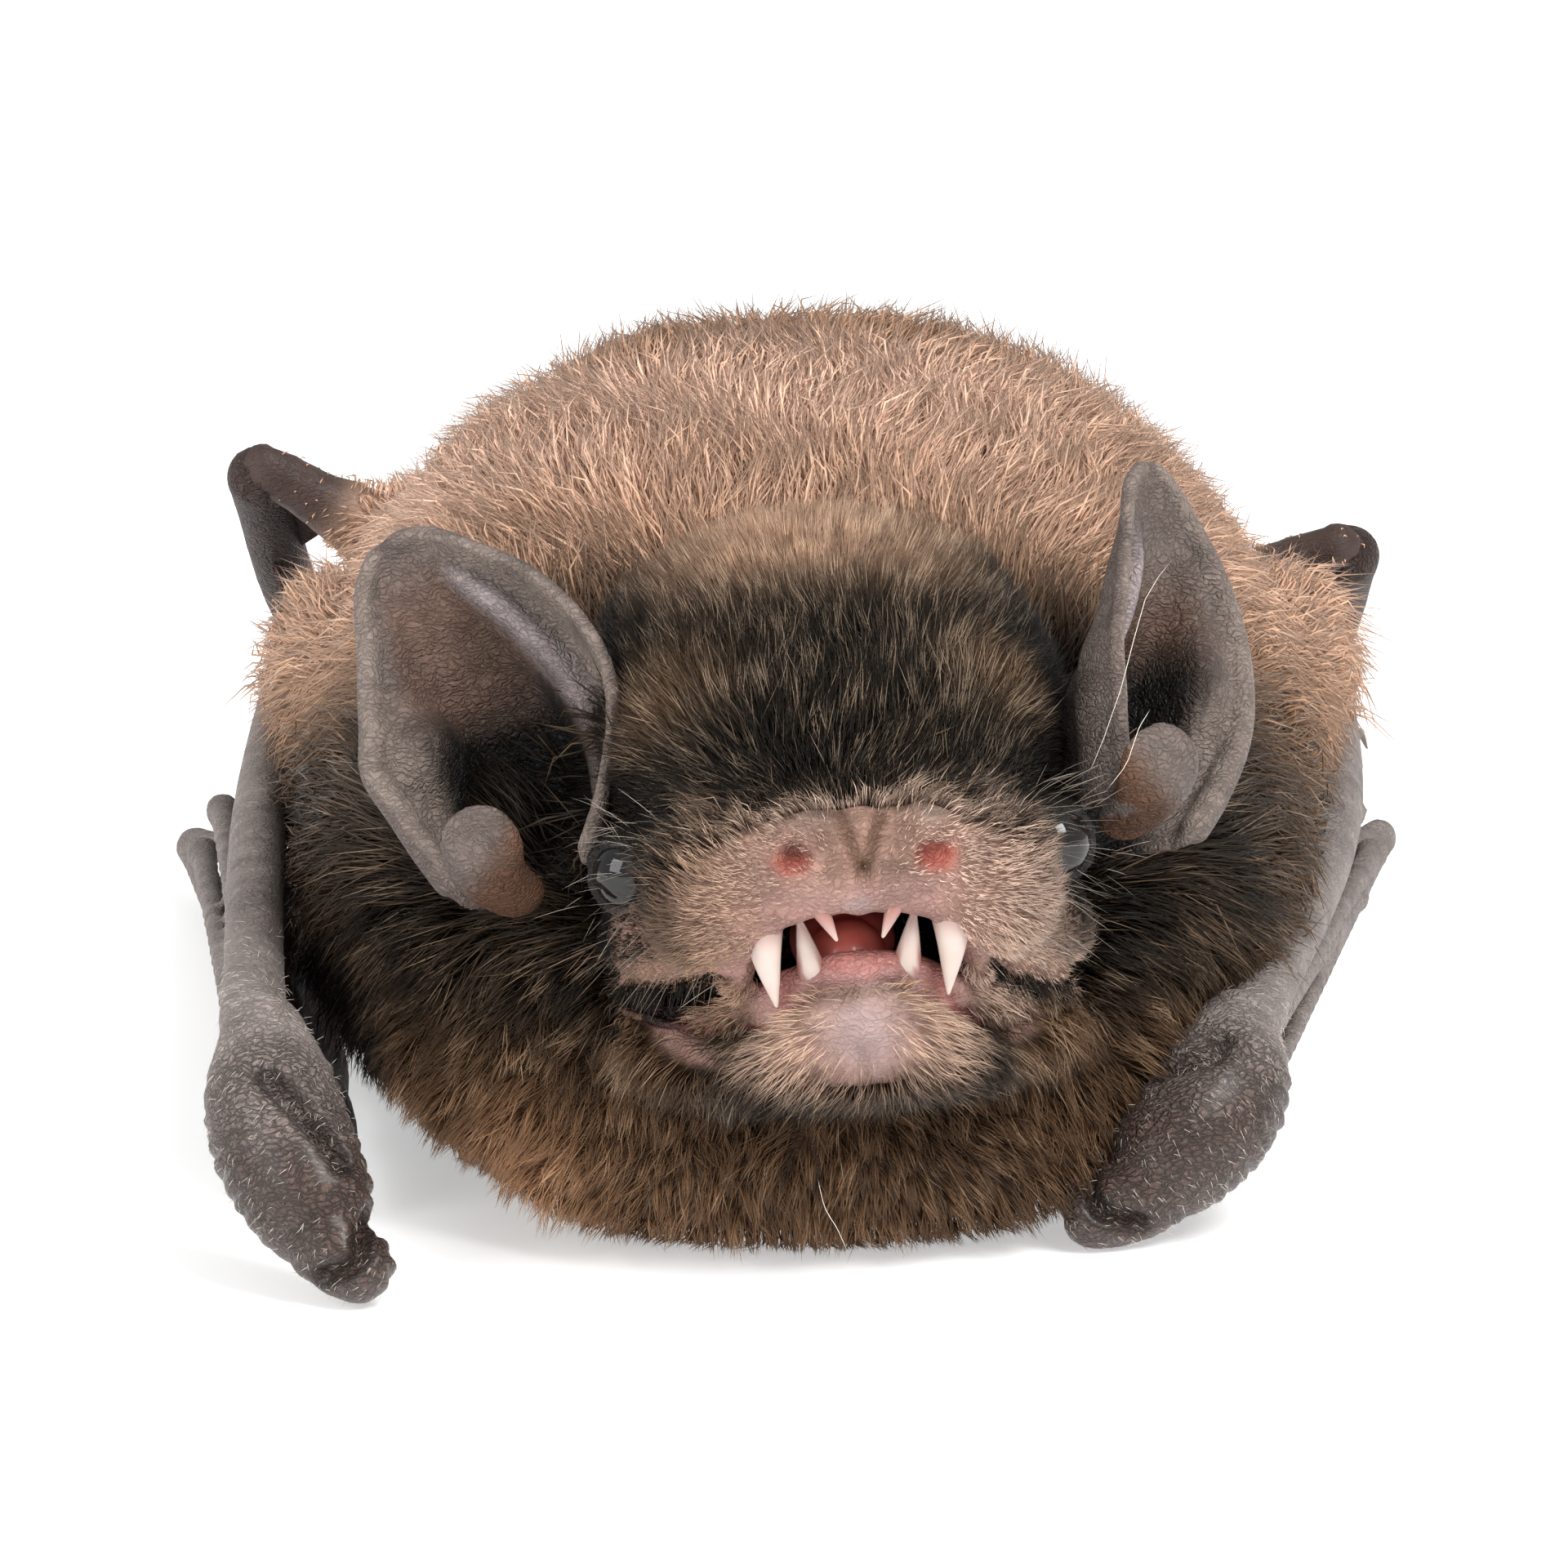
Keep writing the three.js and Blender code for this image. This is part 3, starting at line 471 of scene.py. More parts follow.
print("stage: trunk and limbs")
trunk = {
    "rows": [
        [-21.2, 6.2, 6.2, 0.4, 2.8], [-18.5, 8.8, 9.4, 0.35, 3.8], [-14, 10.9, 13.4, 0.35, 5.4],
        [-7, 12.0, 15.9, 0.35, 7.0], [-1, 12.5, 16.7, 0.35, 7.5], [6, 12.3, 17.0, 0.35, 7.6],
        [12, 11.3, 16.5, 0.4, 7.4], [18, 9.4, 14.4, 0.6, 6.9], [23.5, 7.2, 10.9, 1.0, 6.0],
        [26.4, 5.4, 8.2, 1.6, 5.0]],
    "voxel": 0.42,
}
limbs = {
    "right": {
        "shoulder": (-9.0, -8, 9.0), "armBend": (-11.6, 4, 9.2), "elbow": (-14.0, 17, 7.8),
        "midArm": (-14.3, -2, 7.2), "wrist": (-13.4, -20.9, 6.0),
        "pad": [(-13.3, -20.9, 6.0), (-12.8, -22.1, 4.0), (-12.15, -23.1, 2.7), (-11.15, -24.1, 1.3)],
        "thumb": [(-11.6, -23.9, 1.65), (-10.85, -24.4, 1.08), (-9.95, -24.75, 0.95)],
        "claw": [(-10.6, -23.85, 0.8), (-10.7, -22.85, 0.95), (-10.75, -22.05, 0.2)],
        "web": [(-13.1, -17.2, 4.3), (-13.9, -2, 5.6), (-13.7, 14.4, 5.6)],
        "knuckle": (-16.6, 16.5, 2.4), "bend": (-17.9, 21.4, 1.6), "tip": (-13.8, -5, 0.95),
        "hem": [(-11.1, -15.8, 0.75), (-12.9, 0, 0.8), (-14.4, 15, 0.9)],
        "hip": (-5.0, 21, 7.6), "knee": (-15.9, 17.8, 13.6), "ankle": (-12.2, 32, 1.5),
        "fold": [(-12.95, -22.95, 5.45), (-12.5, -23.25, 5.05), (-12.15, -23.45, 4.75), (-11.9, -23.6, 4.45),
                 (-11.5, -23.7, 4.1), (-11.1, -23.9, 3.5)],
        "joint": [(-11.75, -25.0, 0.8), (-11.35, -25.2, 1.0), (-11.0, -25.3, 1.15), (-10.7, -25.2, 1.45),
                  (-10.6, -24.9, 1.75), (-10.5, -23.8, 2.1)]},
    "left": {
        "shoulder": (9.0, -8, 8.7), "armBend": (11.6, 4, 8.9), "elbow": (14.0, 18.6, 7.2),
        "midArm": (13.9, 0.6, 6.0), "wrist": (10.95, -17.4, 4.75),
        "pad": [(11.0, -17.4, 4.8), (10.2, -18.5, 3.25), (9.1, -19.3, 2.15), (7.95, -19.85, 1.25)],
        "thumb": [(8.45, -19.65, 1.4), (7.4, -20.05, 1.0), (6.3, -20.3, 0.98)],
        "claw": [(7.2, -19.4, 0.8), (7.35, -18.4, 0.95), (7.4, -17.6, 0.2)],
        "web": [(10.3, -13.4, 3.1), (12.3, 0.6, 4.4), (13.6, 16, 5.0)],
        "knuckle": (15.1, 15.5, 2.0), "bend": (16.2, 20.3, 1.5), "tip": (12.2, -5, 0.9),
        "hem": [(9.8, -12.2, 0.75), (11.4, 0, 0.8), (13.2, 15, 0.85)],
        "hip": (5.0, 21, 7.0), "knee": (15.7, 18.2, 10.6), "ankle": (12.2, 32, 1.5),
        "fold": [(8.9, -19.15, 4.2), (9.1, -19.2, 4.4), (9.65, -19.3, 4.65), (10.15, -19.25, 4.8),
                 (10.35, -19.0, 5.0)],
        "joint": [(7.45, -18.4, 2.9), (7.05, -19.6, 2.3), (6.95, -20.5, 1.75), (7.1, -20.85, 1.4),
                  (7.4, -20.95, 1.1), (7.8, -20.9, 0.95), (8.25, -20.75, 0.75)]},
    "voxel": 0.16,
}
limbRows = {  # share of the length, radius across, radius up
    "upperArm": [[0, 2.4, 2.6], [0.45, 1.7, 2.0], [1, 0.9, 1.0]],
    "forearm": [[0, 1.2, 1.3], [0.15, 1.05, 1.15], [0.5, 0.8, 0.9], [0.85, 0.78, 0.82], [1, 0.9, 0.9]],
    "pad": [[0, 0.85, 0.85], [0.14, 1.1, 1.05], [0.34, 1.62, 1.5], [0.62, 1.74, 1.6], [1, 1.35, 1.2]],
    "thumb": [[0, 1.3, 1.25], [0.5, 1.08, 1.02], [1, 0.86, 0.84]],
    "thumbClaw": [[0, 0.34, 0.34], [0.5, 0.25, 0.28], [1, 0.05, 0.05]],
    "handBone": [[0, 0.5, 0.5], [0.08, 0.36, 0.36], [0.93, 0.38, 0.38], [1, 0.56, 0.56]],
    "finger": [[0, 0.6, 0.6], [0.1, 0.4, 0.4], [1, 0.55, 0.55]],
    "fingerTip": [[0, 0.5, 0.5], [0.1, 0.4, 0.4], [1, 0.3, 0.3]],
    "thigh": [[0, 2.6, 3.0], [0.45, 1.7, 1.7], [0.8, 0.9, 0.9], [1, 0.7, 0.7]],
    "shin": [[0, 0.95, 0.95], [0.1, 0.85, 0.85], [0.4, 0.8, 0.85], [0.85, 0.55, 0.58], [1, 0.75, 0.7]],
    "sole": [[0, 0.85, 0.75], [1, 1.05, 0.65]],
    "toe": [[0, 0.42, 0.42], [0.55, 0.3, 0.3], [0.8, 0.33, 0.33], [1, 0.24, 0.26]],
    "toeClaw": [[0, 0.18, 0.2], [0.5, 0.13, 0.15], [1, 0.03, 0.03]],
}


def shifted(p, x, y, z):
    return (p[0] + x, p[1] + y, p[2] + z)


def between(a, b, share=0.5):
    return tuple(p + (q - p) * share for p, q in zip(a, b))


def limbTube(name, points, sides=20, rings=30, up=(0, 0, 1)):
    return tube(name, points, limbRows[name], sides, rings, up)


def buildTrunk():
    parts = [
        loft("trunkCore", trunk["rows"], 60, 50, 5, 6, 2.05),
        blob("chest", (-0.5, -14.0, 3.05), (9.0, 6.6, 2.8), detail=32),
        blob("chestFront", (0.2, -18.1, 2.05), (7.4, 3.3, 1.8), detail=32),
    ]
    for limb in (limbs["left"], limbs["right"]):
        midThigh = shifted(between(limb["hip"], limb["knee"]), 0, -0.4, -0.5)
        parts += [
            limbTube("upperArm", [limb["shoulder"], limb["armBend"], limb["elbow"]]),
            limbTube("thigh", [limb["hip"], midThigh, limb["knee"]]),
        ]
    return remesh(joinAll("trunkSkin", parts), trunk["voxel"], 8)


def padShare(p):  # 1 on the wrist pads, 0 on the smooth forearms behind them
    share = np.zeros(len(p))
    for side, out in outward.items():
        wrist = limbs[side]["wrist"]
        front = np.maximum(ramp(wrist[1] - p[:, 1], 0.2, 1.5), fall(p[:, 2] - wrist[2], -1.2, -0.2))
        share = np.maximum(share, front * (p[:, 0] * out > 0) * fall(p[:, 1] - wrist[1], 1.5, 3.5))
    return share


def armParts(limb, out):
    parts = [
        limbTube("forearm", [limb["elbow"], limb["midArm"], limb["wrist"]], 20, 70),
        limbTube("pad", [shifted(limb["pad"][0], 0, 1.1, 0.7)] + limb["pad"][1:], 28, 30, (0, -1, 0)),
        limbTube("thumb", [limb["pad"][2]] + limb["thumb"], 24, 24, (0, -1, 0.2)),
    ]
    start = shifted(limb["wrist"], out * 0.1, 1.6, -0.9)
    for x, y, z in ((0, 0, 1.3), (out * 0.55, -0.8, 0.25), (0, -1.6, -0.8)):
        a, b = shifted(start, x * 0.6, 0, z * 0.45), shifted(limb["knuckle"], x, y, z)
        parts.append(limbTube("handBone", [a, between(a, b), b], 12, 60))
    knuckle = shifted(limb["knuckle"], 0, 0.9, 0)
    for name, a, b in (("finger", knuckle, limb["bend"]), ("fingerTip", limb["bend"], limb["tip"])):
        parts.append(limbTube(name, [a, between(a, b), b], 12, 50))
    return parts


def buildArm(side):
    limb, out = limbs[side], outward[side]
    obj = remesh(joinAll(side + "Arm", armParts(limb, out)), limbs["voxel"], 7)
    co, n = coordsOf(obj), normalsOf(obj)
    near = co[:, 1] < limb["wrist"][1] + 4
    part, normals = co[near], n[near]
    pad = np.array(limb["pad"])
    part = groove(part, normals, limb["joint"], 0.22, 0.6)
    part = groove(part, normals, limb["fold"], 0.24, 0.6)
    beside = np.array(limb["fold"]) + (-out * 0.5, 0, 0.25)
    part = groove(part, normals, beside, 0.25, -0.16)  # the loose skin beside the fold
    x, along = part[:, 0], part @ unit(pad[0] - pad[2])
    wrinkle = np.sin(along * 11 + np.sin(x * 2.6) * 1.2) * (0.6 + 0.4 * np.sin(along * 4.1 + x * 2.3))
    wrinkle += 0.6 * np.sin(along * 15 + x * 4 + np.sin(part[:, 2] * 3.1) * 1.5)
    edge = ramp(np.abs(normals[:, 0]), 0.25, 0.8)
    part += normals * (wrinkle * (0.01 + 0.042 * edge) * padShare(part))[:, None]
    co[near] = part
    return setCoords(obj, co)


def buildLeg(side):
    knee, ankle, out = limbs[side]["knee"], limbs[side]["ankle"], outward[side]
    heel = shifted(ankle, out * 0.3, 0.7, -0.5)
    top, middle = shifted(knee, -out * 0.4, 0.0, -0.3), shifted(between(knee, ankle), out * 0.7, 0.2, 0)
    parts = [
        limbTube("shin", [top, middle, shifted(ankle, out * 0.2, 0.8, -0.3)], 16, 50),
        limbTube("sole", [heel, shifted(heel, out * 0.75, 1.0, 0.05),
                        shifted(heel, out * 1.5, 2.0, -0.15)], 18, 20),
    ]
    claws = []
    for i in range(5):
        turn = 0.2 + (i - 2) / 4 * 0.8
        x, y = math.sin(turn) * out, math.cos(turn)
        root = shifted(heel, out + x * 0.6, 1.3 + y * 0.6, -0.25)
        reach = 5.4 - abs(i - 2) * 0.25

        def stretched(shares):  # places along the toe, each at its share of the reach and its height
            return [shifted(root, x * reach * share, y * reach * share, up) for share, up in shares]

        parts.append(limbTube("toe", stretched(((0, 0), (0.45, 0.25), (0.78, 0.02))), 12, 24))
        claws.append(limbTube("toeClaw", stretched(((0.72, 0.05), (0.9, 0.0), (0.99, -0.58))), 10, 14))
    return remesh(joinAll(side + "Leg", parts), limbs["voxel"], 1), claws


trunkSkin = buildTrunk()
armSkins = [buildArm("left"), buildArm("right")]
legSkins, toeClaws = zip(buildLeg("left"), buildLeg("right"))

print("stage: membranes and tail")
wing = {
    "tail": [(0, 25.5, 4.6), (0.2, 31, 2.9), (1.2, 38.5, 1.35), (4.4, 47, 0.85), (8.6, 54.5, 0.62)],
    "tailRows": [[0, 1.1, 1.1], [0.35, 0.75, 0.8], [0.7, 0.5, 0.55], [1, 0.3, 0.32]],
    "tailHem": [(6.0, 25.4, 4.6), (9.2, 27.4, 3.9), (10.6, 31.8, 1.7), (9.4, 36.5, 1.15), (8.4, 40.5, 0.85)],
    "thickness": 0.17, "folds": 3, "armFold": 0.4, "sideFold": 0.5,
}


def pleated(upper, lower, depth):
    top, bottom = curveThrough(upper), curveThrough(lower)

    def middle(u, v):
        place = readCurve(top, u)[0] * (1 - v)[:, None] + readCurve(bottom, u)[0] * v[:, None]
        along = np.sqrt(np.clip(np.sin(u * np.pi), 0, 1))
        place[:, 0] += (np.sin(v * np.pi * wing["folds"]) * depth * along
                        + 0.08 * np.sin(u * 40 + v * 9) * along)
        return place

    return middle


def tailWeb(out):
    along, outer = curveThrough(wing["tail"]), curveThrough([(x * out, y, z) for x, y, z in wing["tailHem"]])

    def middle(u, v):
        place = readCurve(along, 0.06 + v * 0.66)[0] * (1 - u)[:, None] + readCurve(outer, v)[0] * u[:, None]
        bow = np.sin(u * np.pi)
        place[:, 1] -= bow * v * v * 3.2
        place[:, 2] += np.sin(u * np.pi * 5) * 0.3 * (1 - 0.65 * v) + bow * 0.5 * (1 - v)
        place[:, 2] += 0.06 * np.sin(v * 30 + u * 6) * bow
        return place

    return middle


def kneeWeb(limb):  # the skin that fills the bend of the knee
    thigh, shin = between(limb["knee"], limb["hip"], 0.3), between(limb["knee"], limb["ankle"], 0.3)

    def middle(u, v):
        reach = (0.1 + 0.9 * u)[:, None]
        sides = ((np.array(thigh) - limb["knee"]) * (1 - v)[:, None]
                 + (np.array(shin) - limb["knee"]) * v[:, None])
        return np.array(limb["knee"]) + sides * reach

    return middle


def webSheet(name, middle, columns, rows):
    return sheet(name, middle, columns, rows, wing["thickness"])


def buildMembranes():
    parts = [tube("tail", wing["tail"], wing["tailRows"], 16, 90)]
    for side, out in outward.items():
        limb = limbs[side]
        elbow = shifted(limb["elbow"], out * 0.4, 2.4, -1.4)
        knee = shifted(limb["knee"], -out * 0.7, 3.4, -3.6)
        ankle = shifted(limb["ankle"], out * 1.3, -1.4, 1.3)
        heel = shifted(limb["ankle"], out * 1.5, -1.0, -0.7)
        hem = [shifted(limb["hem"][2], out * 0.2, 1.8, 0), (out * 14.8, 24, 0.8), heel]
        armTop = limb["web"] + [shifted(elbow, 0, 0.3, 0)]
        armHem = limb["hem"] + [shifted(limb["hem"][2], out * 0.2, 2.2, 0)]
        parts += [
            webSheet("armWeb", pleated(armTop, armHem, wing["armFold"]), 76, 18),
            webSheet("sideWeb", pleated([elbow, knee, ankle], hem, wing["sideFold"]), 44, 20),
            webSheet("tailWeb", tailWeb(out), 36, 30),
            webSheet("kneeWeb", kneeWeb(limb), 12, 12),
        ]
    return joinAll("webSkin", parts)


webSkin = buildMembranes()

print("stage: skin in one piece")
skinLimit = 192000
shells = [trunkSkin, headSkin] + earSkins + armSkins + list(legSkins) + [webSkin]
shellKinds = ["trunk", "head", "ear", "ear", "arm", "arm", "leg", "leg", "web"]
shellTree = KDTree(sum(len(s.data.vertices) for s in shells))
shellOf = []
for kind, shell in zip(shellKinds, shells):
    for place in coordsOf(shell):
        shellTree.insert(place, len(shellOf))
        shellOf.append(kind)
shellTree.balance()
shellOf = np.array(shellOf)
skin = shells[0]
for shell in shells[1:-1]:
    applyModifier(skin, "BOOLEAN", operation="UNION", solver="MANIFOLD", object=shell)
    bpy.data.objects.remove(shell)
skin = joinAll("batSkin", [skin, shells[-1]])
triangles = sum(len(p.vertices) - 2 for p in skin.data.polygons)
applyModifier(skin, "TRIANGULATE")
applyModifier(skin, "DECIMATE", ratio=min(1, skinLimit / triangles))
skinKind = shellOf[[shellTree.find(p)[1] for p in coordsOf(skin)]]
print("skin triangles", sum(len(p.vertices) - 2 for p in skin.data.polygons))

print("stage: teeth, tongue, eyes and claws")


teethPlaces = {  # root, middle and point of each tooth of the left side, and its radius at the root
    "upperCanine": ([(2.2, -9.2, -1.3), (2.25, -9.85, -2.6), (2.06, -10.05, -4.12)], 0.54),
    "upperIncisor": ([(1.15, -9.9, -1.3), (0.85, -10.3, -1.85), (0.54, -10.42, -2.52)], 0.28),
    "lowerCanine": ([(1.0, -9.0, -4.5), (1.15, -9.52, -3.4), (1.4, -9.75, -1.95)], 0.44),
    "upperPremolar": ([(2.95, -8.6, -2.4), (2.95, -8.75, -2.9), (2.85, -8.75, -3.35)], 0.34),
    "upperMolar": ([(3.45, -7.8, -2.9), (3.45, -7.95, -3.4), (3.35, -7.95, -3.85)], 0.38),
    "lowerPremolar": ([(2.15, -8.7, -4.5), (2.2, -8.8, -4.1), (2.25, -8.8, -3.65)], 0.3),
    "lowerMolar": ([(2.9, -7.9, -4.9), (2.95, -8.0, -4.5), (3.0, -8.0, -4.1)], 0.32),
    "lowerIncisor": ([(0.22, -9.6, -3.7), (0.24, -9.7, -3.45), (0.26, -9.74, -3.2)], 0.12),
    "outerIncisor": ([(0.55, -9.55, -3.7), (0.58, -9.64, -3.48), (0.62, -9.66, -3.24)], 0.12),
}


def tooth(name, points, radius, side):
    rows = [[0, radius, radius], [0.35, radius * 0.86, radius * 0.9],
            [0.7, radius * 0.5, radius * 0.52], [1, 0.035, 0.035]]
    return tube(name, [(side * x, y, z) for x, y, z in points], rows, 18, 26, (1, 0, 0.01))


teeth = joinAll("teeth", [tooth(name, points, radius, side) for side in (-1, 1)
                          for name, (points, radius) in teethPlaces.items()])
toothX, toothY, toothZ = coordsOf(teeth).T
gumShare = np.where(toothY < -9.8, ramp(toothZ, -2.9, -1.7), ramp(-toothZ, 2.7, 3.3))
moveToWorld(teeth)

tongue = remesh(joinAll("tongueFlesh", [
    blob("tongueTip", (-0.22, -8.45, -3.4), (0.98, 1.0, 0.98)),
    blob("tongueBack", (-0.2, -6.8, -3.3), (1.3, 2.0, 1.05)),
    blob("mouthFloor", (0, -7.4, -4.55), (2.6, 2.2, 0.6))]), 0.13, 4)
moveToWorld(tongue)

eyeballs = [blob("eyeball", eyeSocket(side)[0], (head["eyeball"],) * 3, detail=32) for side in (-1, 1)]
eyes = moveToWorld(joinAll("eyes", eyeballs))

clawParts = [claw for claws in toeClaws for claw in claws]
for side in outward:
    clawParts.append(limbTube("thumbClaw", limbs[side]["claw"], 16, 24, (1, 0, 0.01)))
claws = joinAll("claws", clawParts)

print("stage: coat")
coat = {
    "headDensity": 260, "muzzleDensity": 280, "bodyDensity": 52,  # hairs to the square millimetre
    "headLength": 1.7, "crownLength": 1.15, "muzzleLength": 0.5, "chinLength": 0.75,
    "bodyLength": 3.8, "chestLength": 1.9, "headWidth": 0.026, "muzzleWidth": 0.018, "bodyWidth": 0.058,
    "headClump": 0.38, "bodyClump": 0.32, "headSpread": 0.22, "bodySpread": 0.13,
    "leaders": 0.06, "mixing": 0.14, "quickShare": 0.35, "pieceLimit": 32000, "patch": 0.003,
    "floorGap": 0.03, "topGap": 0.08, "settle": 0.7,
}
spots = {  # middle and radii of the soft spots, on the face in the head's axes and then on the body
    "chin": ((0, -10.3, -4.8), (2.1, 2.2, 2.0)), "gumStrip": ((0, -10.5, -1.6), (0.75, 0.6, 0.4)),
    "chinFur": ((-0.15, -9.6, -5.4), (3.3, 3.4, 2.3)), "noseFront": ((0, -11.0, -0.7), (3.9, 2.4, 2.2)),
    "rightJaw": ((-4.1, -7.2, -5.6), (2.0, 2.4, 0.8)), "leftJaw": ((4.1, -7.2, -5.8), (1.8, 2.4, 0.7)),
    "leftPad": ((1.75, -10.4, 0.42), (0.95, 1.1, 0.42)), "rightPad": ((-0.95, -10.4, 0.48), (0.85, 1.1, 0.4)),
    "wedge": ((0.2, -10.7, 0.1), (1.8, 0.95, 1.5)), "sideShadow": ((4.8, -6.6, -2.2), (1.7, 2.2, 1.2)),
    "rightBrow": ((-3.7, -4.6, 1.9), (2.4, 2.8, 2.0)), "leftBrow": ((3.6, -4.6, 1.8), (2.0, 2.8, 2.0)),
    "rightCheek": ((-6.0, -3.6, -4.4), (1.4, 1.8, 1.3)), "leftCheek": ((6.2, -3.6, -4.0), (1.6, 2.0, 1.5)),
    "chestLight": ((-6.0, -18.5, 2.5), (3.6, 4.0, 2.6)), "armpitShade": ((-10.8, -14.0, 5.6), (3.2, 7.0, 4.0)),
    "leftBack": ((7.5, 0, 14), (6, 9, 5)),
}
faceCreaseShades = [  # ends seen from the front, width and depth of the lines of painted shade along the creases of the face's bare skin
    ((-0.28, 0, 0.5), (0.13, 0, -0.72), 0.26, 1.0), ((0.66, 0, 0.42), (0.2, 0, -0.72), 0.26, 1.0),
    ((0.17, 0, -0.5), (0.16, 0, -0.8), 0.36, 0.7), ((-0.87, 0, 0.5), (-0.45, 0, -0.75), 0.45, 0.4),
    ((1.35, 0, 0.4), (0.85, 0, -0.8), 0.45, 0.4), ((-0.1, 0, -5.3), (0, 0, -6.4), 0.24, 0.5),
    ((-0.55, 0, -3.85), (0.6, 0, -3.85), 0.26, 0.4)]
muzzleTop = [  # where the tan muzzle ends above, from the right side to the left
    [-5.8, -2.6, 0], [-4.6, -1.15, 0], [-3.2, -0.05, 0], [-1.6, 0.65, 0], [0, 0.7, 0], [1.7, 0.6, 0],
    [2.9, 0.15, 0], [4.0, -0.5, 0], [5.0, -1.3, 0], [5.8, -3.0, 0]]
mouthUpper = [[x, z, y] for x, y, z in head["upperLip"]]
mouthLower = [[x, z, y] for x, y, z in head["lowerLip"]]
eyePlaces = np.array([eyeSocket(side)[0] + eyeSocket(side)[1] * head["pressed"] for side in (-1, 1)])


def spot(p, name):
    return bump(p, *spots[name])


def nearLine(p, a, b):  # distance to a straight line between two places
    a, b = np.array(a, float), np.array(b, float)
    t = np.clip((p - a) @ (b - a) / np.sum((b - a) ** 2), 0, 1)
    return np.linalg.norm(p - a - t[:, None] * (b - a), axis=1)


def nearPoint(p, centre, near, far):  # 1 at the centre and out to near, 0 past far
    return fall(np.linalg.norm(p - centre, axis=1), near, far)


def nearEyes(q, near, far, shift=(0, 0, 0)):
    return np.maximum(*[nearPoint(q - eye, shift, near, far) for eye in eyePlaces])


def earPlaces(q):  # distance from the head's skin to the front of either ear
    fronts = [(shifted(ears[side]["base"], 0, -1.2, 0), ears[side]["belly"]) for side in outward]
    return np.minimum(*[nearLine(q, low, high) for low, high in fronts])


def faceMasks(p, kind):
    q = toHead(p)
    x, y, z = q.T
    wide = np.abs(x)
    isHead = (kind == "head") & (y > -13)
    upper, lower = readRows(mouthUpper, x), readRows(mouthLower, x)
    aboveLip, belowLip = z - upper[:, 0], lower[:, 0] - z
    betweenLips = (aboveLip < 0.3) & (belowLip < 0.3) & (y > np.minimum(upper[:, 1], lower[:, 1]) + 0.3)
    inside = isHead & betweenLips & (y < -3.5) & (wide < 5.8)
    sideEnd = 3.3 - (z < -3.5) * 1.0
    lips = fall(aboveLip, 0.1, 0.5) * fall(belowLip, 0.1, 0.45) * fall(wide, sideEnd, sideEnd + 0.7)
    nearNose = isHead * fall(np.linalg.norm((q - (0, -10.6, -1.0)) / (1, 1, 0.9), axis=1), 1.6, 4.4)
    rear = 6.7 - 0.9 * ramp(-z, 1.5, 3.0) - 1.6 * ramp(-z, 2.5, 3.6)
    ragged = 0.3 * np.sin(x * 5.1 + z * 3.3) * np.sin(z * 6.3 - x * 2.2 + y * 3.0)
    behindNose = fall(wide, 2.6, 4.2) * ramp(y, -9.6, -9.0) * ramp(z, -0.4, 0.1)
    muzzle = isHead * fall(z - readRows(muzzleTop, x)[:, 0] + 0.7 * ragged, -0.45, 0.35)
    muzzle = muzzle * ramp(-y + 1.2 * ragged, rear - 1.2, rear + 0.6)
    muzzle = muzzle * fall(belowLip, -0.6, 0.2) * (1 - behindNose)
    upperPink = (isHead * ramp(-y, 8.0, 9.4) * fall(wide, 1.8, 3.2) * fall(z, -1.4, -0.3)
                 * fall(belowLip, -0.5, 0))
    chin = isHead * spot(q, "chin") * (y < -8.3)
    chinFur = isHead * spot(q, "chinFur") ** 0.6 * ramp(belowLip, -0.2, 0.2)
    jawSkin = isHead * np.maximum(spot(q, "rightJaw"), 0.5 * spot(q, "leftJaw"))
    sideShadow = isHead * spot(np.abs(q) * (1, -1, -1), "sideShadow")
    nostrils = [bump(q, (s * 1.74 + 0.2, -10.5, -0.48 - s * 0.08), (0.75, 1.2, 0.6)) for s in (-1, 1)]
    nostrils = isHead * np.maximum(*nostrils)
    pads = isHead * np.maximum(spot(q, "leftPad"), spot(q, "rightPad"))
    wedge = isHead * spot(q, "wedge")
    lipBand = isHead * fall(aboveLip, 0.5, 0.9) * ramp(aboveLip, -0.3, 0.1) * ramp(wide, 2.6, 3.2)
    lipBand = lipBand * ramp(-y, 4.6, 5.4)
    lids = isHead * nearEyes(q, 0.76, 0.95)
    # painted shade along the grooves of the nose, lip and chin
    creaseShading = np.zeros(len(q))
    for a, b, width, depth in faceCreaseShades:
        line = fall(nearLine(q * (1, 0, 1), a, b), 0.3 * width, width)
        creaseShading = np.maximum(creaseShading, depth * line * ramp(-y, 8.4, 9.2))
    bare = np.maximum.reduce([
        lips * 1.3, chin * 1.15, nostrils * 2.5, pads * 0.95, upperPink,
        isHead * spot(q, "noseFront") * 0.97, wedge * 1.5, lids * 2])
    bare = np.where(inside, 1, np.clip(bare, 0, 1))
    return {
        "q": q, "isHead": isHead, "inside": inside, "lips": lips * isHead, "muzzle": muzzle,
        "upperPink": upperPink, "chin": np.maximum(chin, isHead * spot(q, "gumStrip")),
        "chinFur": np.clip(chinFur, 0, 1), "jawSkin": np.clip(jawSkin * 2.2, 0, 1),
        "nostrils": np.clip(nostrils * 1.6, 0, 1), "pads": pads, "wedge": wedge, "lids": lids,
        "nearNose": nearNose, "sideShadow": sideShadow, "lipBand": lipBand, "belowLip": belowLip,
        "creaseShading": isHead * creaseShading, "bare": np.clip(bare, 0, 1)}


def legBare(p):  # bare knees and the ends of the thighs
    return np.maximum(*[nearPoint(p, limbs[side]["knee"], 2.5, 5.0) for side in outward])


